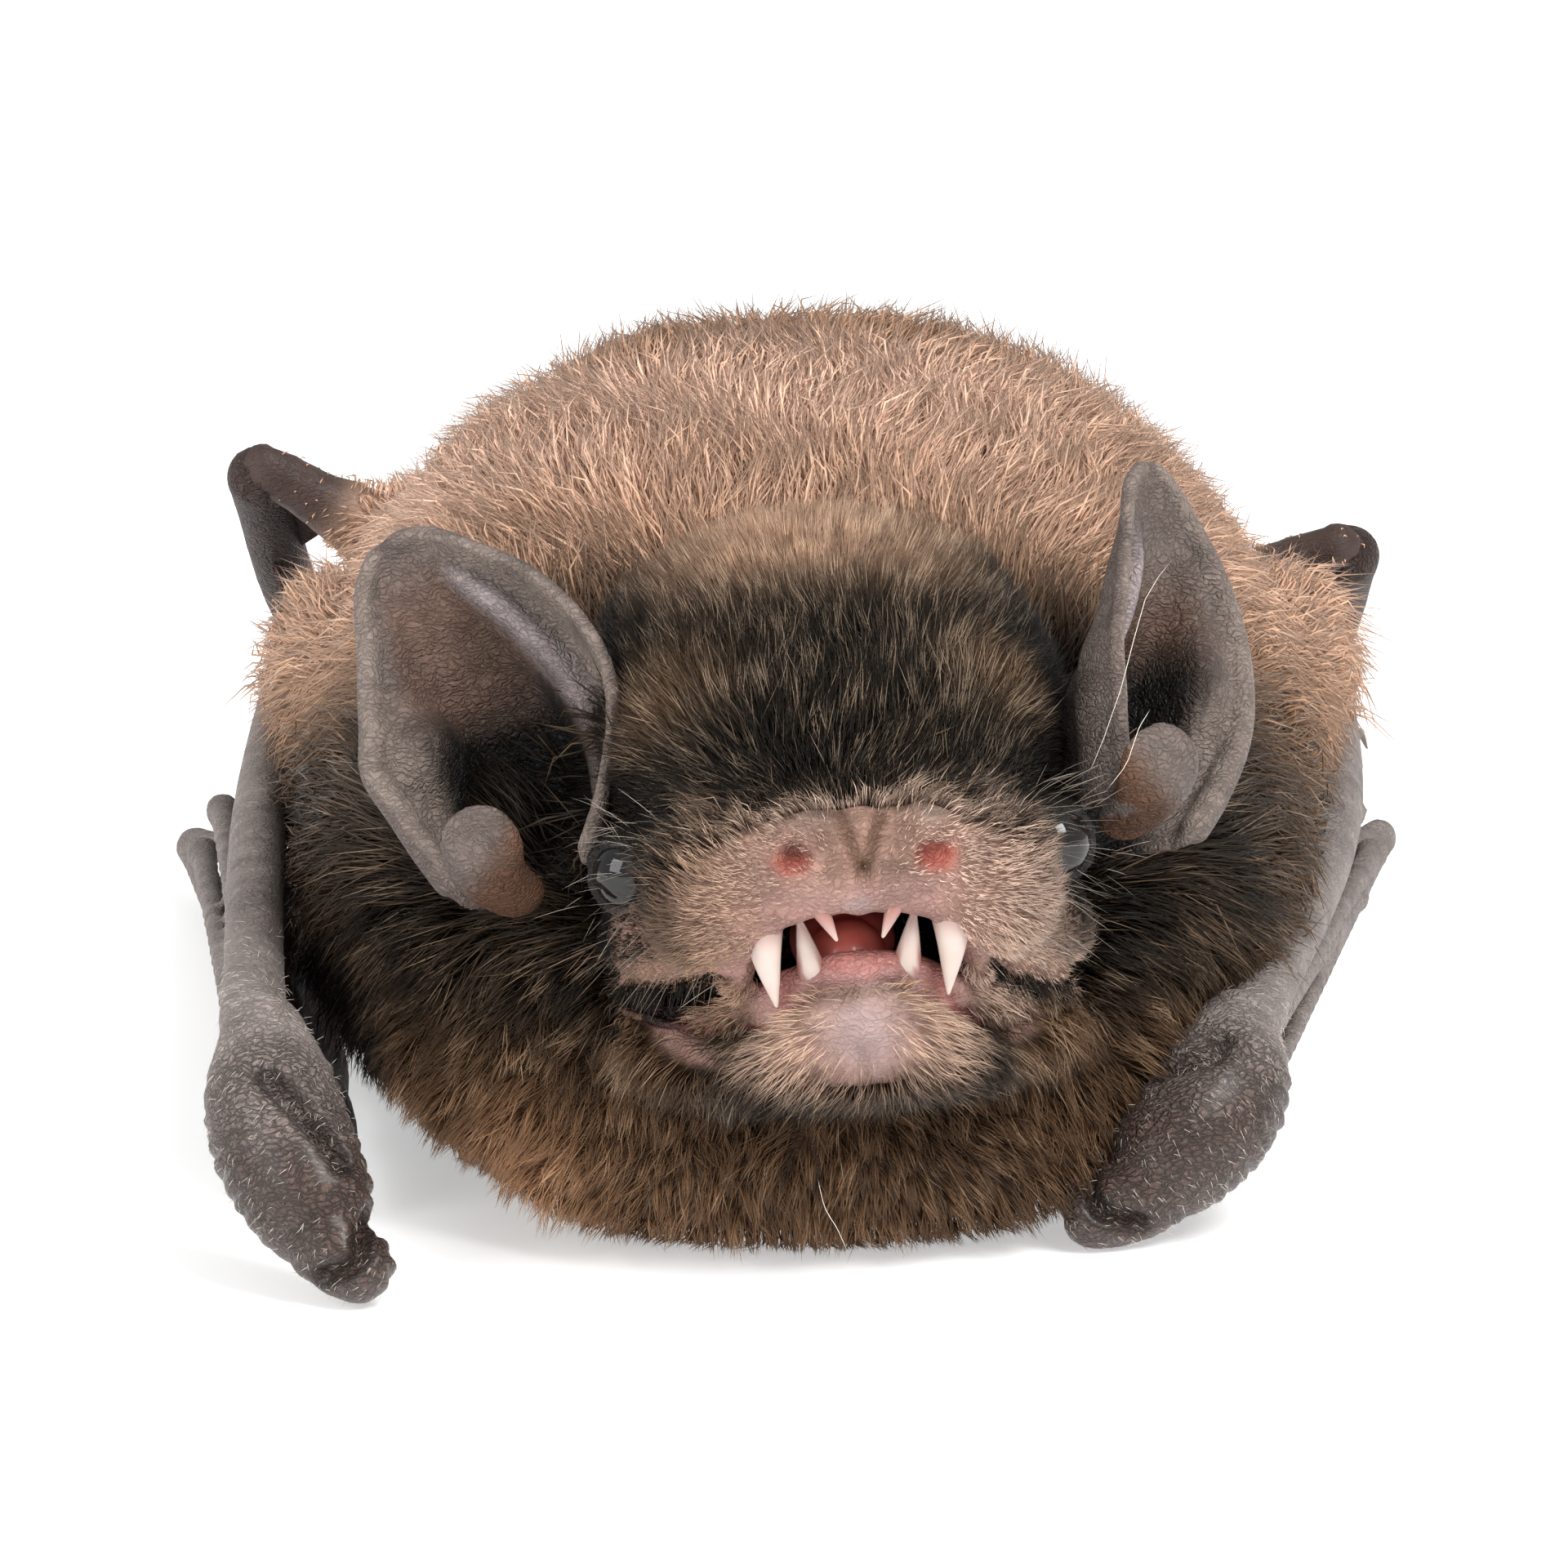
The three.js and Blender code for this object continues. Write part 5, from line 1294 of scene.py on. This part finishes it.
def creaseShadeOf(p, isArm):  # painted shade in the folds of the wrists
    creaseShade = np.zeros(len(p))
    for side in outward:
        for name in ("fold", "joint"):
            line = readCurve(curveThrough(limbs[side][name]), np.linspace(0, 1, 24))[0]
            near = np.flatnonzero(isArm & (np.linalg.norm(p - line.mean(0), axis=1) < 4))
            d = np.min(np.linalg.norm(p[near][:, None] - line[None], axis=2), axis=1)
            creaseShade[near] = np.maximum(creaseShade[near], 0.9 * fall(d, 0.22, 0.5))
    return creaseShade


def paintSkin():
    p, n = coordsOf(skin), normalsOf(skin)
    lie = coatLie(p, n, skinKind)
    face = lie["face"]
    isArm, isEar, isLeg, isWeb = (skinKind == kind for kind in ("arm", "ear", "leg", "web"))
    muzzleSkin = np.maximum.reduce([face["muzzle"], face["chinFur"] * 0.9, face["lipBand"]])
    pink = np.maximum.reduce([face["lips"], face["upperPink"] * 0.8, face["jawSkin"] * 0.65,
                              face["nearNose"] * face["muzzle"] * 0.4, face["chinFur"] * 0.5])
    pink = pink * (1 - 0.6 * face["wedge"])
    wide, y, z = np.abs(face["q"][:, 0]), face["q"][:, 1], face["q"][:, 2]
    nostril = face["nostrils"] * (1 - 0.75 * ramp(z, -0.5, -0.15))
    # painted shade: the back of the mouth goes nearly black
    deepShade = face["inside"] * ramp(y, -8.0, -6.0)
    # painted shade: the mouth's lining is darker red at its sides
    mouthSideShade = face["inside"] * np.maximum(ramp(wide, 1.9, 2.6) * ramp(-z, 3.4, 4.0), ramp(wide, 2.9, 3.4))
    mound = face["inside"] * 0.5 * ramp(-z, 3.1, 3.7) * fall(wide, 1.2, 1.9) * ramp(-y, 9.2, 9.7)
    # painted light: the pad's dark tone thins out towards its top, so the upper part looks lit
    pad = isArm * padShare(p) * (1 - 0.7 * ramp(p[:, 2], 3.0, 5.2))
    knees = np.maximum(legBare(p) * (skinKind == "trunk"), isLeg * ramp(p[:, 2], 5.0, 8.0))
    addTones(skin, "tones", *lie["tones"].T)
    addTones(skin, "faceTints", pink, muzzleSkin, nostril, face["pads"] * 0.6)
    addTones(skin, "wetTints", face["inside"], deepShade, np.maximum(face["chin"], mound), face["lids"])
    addTones(skin, "limbTints", isArm | isLeg, pad, np.maximum(isWeb, knees), isEar)
    addTones(skin, "earTints", *earMarks(face["q"], isEar))
    # painted shade: in the face's creases, under the chin, in the wrist folds and at the mouth's sides
    addTones(skin, "shadeTints",
             face["creaseShading"], face["chinFur"] * ramp(-z, 6.7, 7.5), creaseShadeOf(p, isArm), mouthSideShade)
    addTones(teeth, "gumTints", gumShare)
    setValues(skin.data, "wrinkled", "FLOAT", np.maximum.reduce([
        isArm * padShare(p), isLeg * 0.6, isArm * 0.35, isEar * 0.25, face["muzzle"] * 0.2, isWeb * 0.35,
        face["isHead"] * 0.1]))


paintSkin()


def toMetres(obj):
    setCoords(obj, coordsOf(obj) * mm)
    obj.data.polygons.foreach_set("use_smooth", np.ones(len(obj.data.polygons), bool))
    obj.data.update()
    return obj


for obj in (skin, teeth, tongue, eyes, claws):
    toMetres(obj)

print("stage: materials")


def newMaterial(name):
    material = bpy.data.materials.new(name)
    material.use_nodes = True
    nodes = material.node_tree.nodes
    nodes.clear()
    out = nodes.new("ShaderNodeOutputMaterial")
    shader = nodes.new("ShaderNodeBsdfPrincipled")
    plug(out.inputs[0], shader.outputs[0])
    return material, nodes, shader


def setSockets(node, **values):
    for key, value in values.items():
        node.inputs[key.replace("_", " ")].default_value = value


def addNode(nodes, kind, **settings):
    node = nodes.new("ShaderNode" + kind)
    for key, value in settings.items():
        setattr(node, key, value)
    return node


def plug(socket, value):  # a socket, or a fixed number or colour
    if isinstance(value, bpy.types.NodeSocket):
        socket.id_data.links.new(value, socket)
    else:
        socket.default_value = value if isinstance(value, (int, float)) else (*value, 1)


def mixColours(nodes, factor, first, second, blend="MIX"):
    mix = addNode(nodes, "Mix", data_type="RGBA", blend_type=blend)
    for socket, value in zip((mix.inputs[0], mix.inputs[6], mix.inputs[7]), (factor, first, second)):
        plug(socket, value)
    return mix.outputs[2]


def mapRange(nodes, value, low, high, newLow=0.0, newHigh=1.0, smooth=False):
    node = addNode(nodes, "MapRange", interpolation_type="SMOOTHSTEP" if smooth else "LINEAR")
    setSockets(node, From_Min=low, From_Max=high, To_Min=newLow, To_Max=newHigh)
    plug(node.inputs["Value"], value)
    return node.outputs["Result"]


def calculate(nodes, operation, first, second):
    node = addNode(nodes, "Math", operation=operation)
    plug(node.inputs[0], first)
    plug(node.inputs[1], second)
    return node.outputs[0]


def readTones(nodes, name):  # the painted shares of one attribute, as four values
    attribute = addNode(nodes, "Attribute", attribute_name=name)
    split = addNode(nodes, "SeparateColor")
    plug(split.inputs[0], attribute.outputs["Color"])
    return [*split.outputs[:3], attribute.outputs["Alpha"]]


def addRelief(nodes, shader, height, strength, distance):
    relief = addNode(nodes, "Bump")
    setSockets(relief, Strength=strength, Distance=distance)
    plug(relief.inputs["Height"], height)
    plug(shader.inputs["Normal"], relief.outputs[0])


def newGroup(name, inputs, outputs):
    group = bpy.data.node_groups.new(name, "ShaderNodeTree")
    for label, default in inputs.items():
        isColour = not isinstance(default, float)
        kind = "NodeSocketColor" if isColour else "NodeSocketFloat"
        socket = group.interface.new_socket(label, in_out="INPUT", socket_type=kind)
        socket.default_value = (*default, 1) if isColour else default
    for label, kind in outputs.items():
        group.interface.new_socket(label, in_out="OUTPUT", socket_type="NodeSocket" + kind)
    given, out = group.nodes.new("NodeGroupInput").outputs, group.nodes.new("NodeGroupOutput").inputs
    return group, group.nodes, given, out


unevenSizes = {"Mottle Scale": 900.0, "Wrinkle Scale": 7000.0, "Width": 1.0, "Length": 0.42}
warping = {"Scale": 1100, "Detail": 3, "Reach": 0.0009}
furColours = {
    "Brown": (0.13, 0.082, 0.049), "Dark": (0.012, 0.0085, 0.0055), "Warm": (0.48, 0.245, 0.115),
    "Pale": (0.86, 0.57, 0.42), "Glint": (0.74, 0.49, 0.31)}


def makeUnevenSkin():  # a mottle, and wrinkles in two sizes as a height
    group, nodes, given, out = newGroup("unevenSkin", unevenSizes, {"Mottle": "Float", "Wrinkles": "Float"})
    coords = addNode(nodes, "TexCoord").outputs["Object"]
    mottle, warp = addNode(nodes, "TexNoise"), addNode(nodes, "TexNoise")
    setSockets(mottle, Detail=5)
    setSockets(warp, Scale=warping["Scale"], Detail=warping["Detail"])
    plug(mottle.inputs["Vector"], coords)
    plug(mottle.inputs["Scale"], given["Mottle Scale"])
    plug(warp.inputs["Vector"], coords)
    warped = addNode(nodes, "VectorMath", operation="MULTIPLY_ADD")
    warped.inputs[1].default_value = (warping["Reach"],) * 3
    plug(warped.inputs[0], warp.outputs["Color"])
    plug(warped.inputs[2], coords)
    squash = addNode(nodes, "CombineXYZ")
    for socket, label in zip(squash.inputs, ("Length", "Width", "Width")):
        plug(socket, given[label])
    stretched = addNode(nodes, "VectorMath", operation="MULTIPLY")
    plug(stretched.inputs[0], warped.outputs[0])
    plug(stretched.inputs[1], squash.outputs[0])
    heights = []
    for scale, high in ((1.0, 0.22), (2.3, 0.3)):
        cells = addNode(nodes, "TexVoronoi", feature="DISTANCE_TO_EDGE")
        plug(cells.inputs["Vector"], stretched.outputs[0])
        plug(cells.inputs["Scale"], calculate(nodes, "MULTIPLY", given["Wrinkle Scale"], scale))
        heights.append(mapRange(nodes, cells.outputs["Distance"], 0.0, high, smooth=True))
    fine = calculate(nodes, "MULTIPLY", heights[1], 0.4)
    plug(out["Mottle"], mottle.outputs["Fac"])
    plug(out["Wrinkles"], calculate(nodes, "ADD", heights[0], fine))
    return group


def makeCoatColour():  # the fur's colour from its painted shares, also laid on the skin below it
    inputs = {"Tones": (0.0, 0.0, 0.0), "Along": 0.5, "Shade": 0.5, **furColours}
    group, nodes, given, out = newGroup("coatColour", inputs, {"Color": "Color"})
    split = addNode(nodes, "SeparateColor")
    plug(split.inputs[0], given["Tones"])
    warm, dark, pale = split.outputs[:3]
    colour = mixColours(nodes, warm, given["Brown"], given["Warm"])
    colour = mixColours(nodes, pale, colour, given["Pale"])
    colour = mixColours(nodes, dark, colour, given["Dark"])
    tip = mapRange(nodes, given["Along"], 0.35, 1.0, smooth=True)
    bright = mapRange(nodes, given["Shade"], 0.62, 0.95, 0.0, 0.95)
    glints = calculate(nodes, "MULTIPLY", tip, bright)
    onDark, onWarm = mapRange(nodes, dark, 0.0, 1.0, 1.0, 0.55), mapRange(nodes, warm, 0.0, 1.0, 1.0, 0.4)
    glints = calculate(nodes, "MULTIPLY", glints, calculate(nodes, "MULTIPLY", onDark, onWarm))
    colour = mixColours(nodes, glints, colour, given["Glint"])
    tone = mapRange(nodes, given["Shade"], 0.0, 1.0, 0.55, 1.35)
    plug(out["Color"], mixColours(nodes, 1.0, colour, tone, "MULTIPLY"))
    return group


unevenSkin, coatColour = makeUnevenSkin(), makeCoatColour()
# Painted shade among these tones: those of the creases, the wrist folds, the ear's hollow, the mouth's sides
# and its back, and the lid tone where it lies under the chin; the ridge tone is a painted highlight.
skinTones = {
    "muzzle": (0.28, 0.165, 0.12), "pink": (0.36, 0.205, 0.175), "chin": (0.36, 0.255, 0.242),
    "nostril": (0.42, 0.12, 0.09), "pad": (0.37, 0.28, 0.23), "creaseShade": (0.17, 0.092, 0.06),
    "wet": (0.37, 0.14, 0.12), "mouthSideShade": (0.12, 0.03, 0.022), "throatShade": (0.012, 0.004, 0.004),
    "limb": (0.27, 0.225, 0.205), "wrist": (0.1, 0.063, 0.05), "fold": (0.026, 0.016, 0.012),
    "ear": (0.15, 0.115, 0.1), "hollowShade": (0.005, 0.004, 0.0035), "brown": (0.1, 0.043, 0.02),
    "ridge": (0.3, 0.25, 0.25), "rim": (0.22, 0.175, 0.15), "web": (0.055, 0.032, 0.026),
    "lid": (0.006, 0.005, 0.004)}


def makeSkinMaterial():
    material, nodes, shader = newMaterial("batSkin")
    pink, tan, nostril, pad = readTones(nodes, "faceTints")
    wet, deepShade, chin, lid = readTones(nodes, "wetTints")
    limb, wrist, web, ear = readTones(nodes, "limbTints")
    hollowShade, brown, ridge, rim = readTones(nodes, "earTints")
    creaseShade, underChinShade, armCreaseShade, mouthSideShade = readTones(nodes, "shadeTints")
    uneven = addNode(nodes, "Group", node_tree=unevenSkin)
    under = addNode(nodes, "Group", node_tree=coatColour)
    plug(under.inputs["Tones"], addNode(nodes, "Attribute", attribute_name="tones").outputs["Color"])
    setSockets(under, Along=0.0, Shade=0.2)
    colour = under.outputs[0]
    # the crease, under-chin, fold, hollow, mouth-side and throat layers lay painted shade, and the ridge
    # layer a painted highlight
    layers = (
        (tan, "muzzle"), (pink, "pink"), (pad, "pad"), (nostril, "nostril"), (creaseShade, "creaseShade"),
        (underChinShade, "lid"), (lid, "lid"), (limb, "limb"), (wrist, "wrist"), (armCreaseShade, "fold"),
        (web, "web"), (ear, "ear"), (brown, "brown"), (hollowShade, "hollowShade"), (ridge, "ridge"), (rim, "rim"),
        (wet, "wet"), (chin, "chin"), (mouthSideShade, "mouthSideShade"), (deepShade, "throatShade"))
    for share, name in layers:
        colour = mixColours(nodes, share, colour, skinTones[name])
    mottled = mapRange(nodes, uneven.outputs["Mottle"], 0.3, 0.7, 0.72, 1.22)
    colour = mixColours(nodes, 1.0, colour, mottled, "MULTIPLY")
    wrinkled = addNode(nodes, "Attribute", attribute_name="wrinkled").outputs["Fac"]
    # painted shade in the wrinkles' grooves and painted highlight on their crests, as a darker and a lighter
    # copy of the colour
    wrinkleShadeAndHighlight = mapRange(nodes, uneven.outputs["Wrinkles"], 0.0, 0.9, 0.42, 1.3)
    wrinkleShadeAndHighlight = mixColours(nodes, 1.0, colour, wrinkleShadeAndHighlight, "MULTIPLY")
    plug(shader.inputs["Base Color"], mixColours(nodes, wrinkled, colour, wrinkleShadeAndHighlight))
    gloss = mapRange(nodes, wet, 0.0, 1.0, 0.5, 0.22)
    gloss = calculate(nodes, "SUBTRACT", gloss, calculate(nodes, "MULTIPLY", wrist, 0.18))
    plug(shader.inputs["Roughness"], gloss)
    plug(shader.inputs["Coat Weight"], mapRange(nodes, wrist, 0.0, 1.0, 0.0, 0.35))
    depth = mapRange(nodes, wrinkled, 0, 1, 0.08, 1.0)
    addRelief(nodes, shader, calculate(nodes, "MULTIPLY", uneven.outputs["Wrinkles"], depth), 1.0, 0.00014)
    setSockets(shader, Subsurface_Weight=0.12, Subsurface_Scale=0.0006, Subsurface_Radius=(1.0, 0.4, 0.25))
    setSockets(shader, Specular_IOR_Level=0.35, Coat_Roughness=0.3)
    return material


def makeCoatMaterial(name, **colours):
    material, nodes, shader = newMaterial(name)
    tones = addNode(nodes, "Attribute", attribute_name="tones")
    shade = addNode(nodes, "Attribute", attribute_name="shade").outputs["Fac"]
    colour = addNode(nodes, "Group", node_tree=coatColour)
    setSockets(colour, **{label: (*value, 1) for label, value in colours.items()})
    plug(colour.inputs["Tones"], tones.outputs["Color"])
    plug(colour.inputs["Along"], tones.outputs["Alpha"])
    plug(colour.inputs["Shade"], shade)
    plug(shader.inputs["Base Color"], colour.outputs[0])
    plug(shader.inputs["Roughness"], mapRange(nodes, shade, 0, 1, 0.55, 0.38))
    setSockets(shader, Specular_IOR_Level=0.2)
    return material


def makePlain(name, colour, other, marks=None, **settings):  # two mottled tones, and a third where marked
    material, nodes, shader = newMaterial(name)
    uneven = addNode(nodes, "Group", node_tree=unevenSkin)
    mottle = mapRange(nodes, uneven.outputs["Mottle"], 0.35, 0.65)
    tone = mixColours(nodes, mottle, colour, other)
    if marks:
        attribute, third = marks
        tone = mixColours(nodes, readTones(nodes, attribute)[0], tone, third)
    plug(shader.inputs["Base Color"], tone)
    addRelief(nodes, shader, uneven.outputs["Mottle"], 0.15, 0.00003)
    setSockets(shader, Coat_Roughness=0.05, **settings)
    return material


skinMaterial = makeSkinMaterial()
coatMaterial = makeCoatMaterial("batCoat")
headCoatMaterial = makeCoatMaterial("headFur", Pale=(0.84, 0.61, 0.49), Glint=(0.74, 0.54, 0.38))
fineHairMaterial = makeCoatMaterial("fineHairs", Pale=(0.7, 0.63, 0.55), Glint=(0.8, 0.74, 0.66))
toothMaterial = makePlain("toothIvory", (0.52, 0.42, 0.37), (0.6, 0.5, 0.45),
                          ("gumTints", (0.34, 0.15, 0.125)),
                          Roughness=0.25, Coat_Weight=0.2, Subsurface_Weight=0.2, Subsurface_Scale=0.0005)
tongueMaterial = makePlain("tongueCoral", (0.5, 0.1, 0.075), (0.6, 0.15, 0.12),
                           Roughness=0.35, Coat_Weight=0.3)
eyeMaterial = makePlain("eyeBlack", (0.004, 0.0035, 0.0035), (0.01, 0.008, 0.007), Roughness=0.04,
                        Specular_IOR_Level=0.6, IOR=1.45)
clawMaterial = makePlain("clawHorn", (0.06, 0.045, 0.035), (0.13, 0.095, 0.07),
                         Roughness=0.3, Coat_Weight=0.2)

print("stage: placing the pieces")
fleshNodes = ["head", "lower_jaw", "neck", "trunk", "tail"]
for side in outward:
    for part in ("tragus", "ear", "thumb", "hand", "forearm", "upper_arm", "hand_bones", "finger_tip",
                 "foot", "shin", "thigh", "arm_membrane", "side_membrane", "tail_membrane"):
        fleshNodes.append(f"{side}_{part}")
placed = [
    (skin, skinMaterial, fleshNodes, "bare_skin"),
    (teeth, toothMaterial, [], "face_skin"),
    (tongue, tongueMaterial, ["tongue"], "tongue"),
    (eyes, eyeMaterial, ["left_eye", "right_eye"], "eye"),
    (claws, clawMaterial, ["left_thumb_claw", "right_thumb_claw"], "horn"),
]
for piece in coatPieces:
    placed.append((piece, headCoatMaterial if "head" in piece.name else coatMaterial, [], "fur"))
for piece in longHairPieces:
    placed.append((piece, headCoatMaterial if "Fringe" in piece.name else fineHairMaterial, [], "fur"))
for obj, material, nodes, slot in placed:
    obj.data.materials.clear()
    obj.data.materials.append(material)
    if nodes:
        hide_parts(*nodes)
    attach(obj, "root")

print("stage: floor, light and camera")
stage = {
    "floor": 1.6, "floorGlow": 0.45, "world": 0.62, "aim": (0, -0.01, 0.008),  # metres
    "keyLight": {"place": (0.2, -0.26, 0.34), "size": 0.2, "power": 1.9},
    "fillLight": {"place": (-0.3, -0.25, 0.2), "size": 0.25, "power": 0.8},
    "camera": (3.13, -264.08, 63.73), "azimuth": 0.8, "elevation": 12.0, "roll": 1.2, "lens": 234.4,
}

deselectAll()
bpy.ops.mesh.primitive_plane_add(size=stage["floor"], location=(0, 0, 0))
floor = bpy.context.object
floor.name = "floor"
floorMaterial, _, shader = newMaterial("paleFloor")
setSockets(shader, Base_Color=(0.9, 0.9, 0.9, 1), Roughness=0.6)
setSockets(shader, Emission_Color=(1, 1, 1, 1), Emission_Strength=stage["floorGlow"])
floor.data.materials.append(floorMaterial)

world = bpy.data.worlds.new("studio")
bpy.context.scene.world = world
world.use_nodes = True
setSockets(world.node_tree.nodes["Background"], Color=(1, 1, 1, 1), Strength=stage["world"])

for name in ("keyLight", "fillLight"):
    lamp = stage[name]
    light = bpy.data.lights.new(name, "AREA")
    light.shape, light.size, light.energy = "SQUARE", lamp["size"], lamp["power"]
    obj = bpy.data.objects.new(name, light)
    obj.location = lamp["place"]
    aim = Vector(stage["aim"]) - Vector(lamp["place"])
    obj.rotation_euler = aim.to_track_quat("-Z", "Y").to_euler()
    bpy.context.scene.collection.objects.link(obj)

camera = bpy.data.objects.new("camera", bpy.data.cameras.new("camera"))
camera.data.lens = stage["lens"]
camera.data.sensor_width = 36
camera.data.clip_start = 0.01
camera.location = Vector(stage["camera"]) * mm
azimuth, elevation = math.radians(stage["azimuth"]), math.radians(stage["elevation"])
level = math.cos(elevation)
forward = Vector((-math.sin(azimuth) * level, math.cos(azimuth) * level, -math.sin(elevation)))
camera.rotation_euler = forward.to_track_quat("-Z", "Y").to_euler()
camera.rotation_euler.rotate_axis("Z", math.radians(-stage["roll"]))
bpy.context.scene.collection.objects.link(camera)
bpy.context.scene.camera = camera
bpy.context.scene.view_settings.view_transform = "Standard"
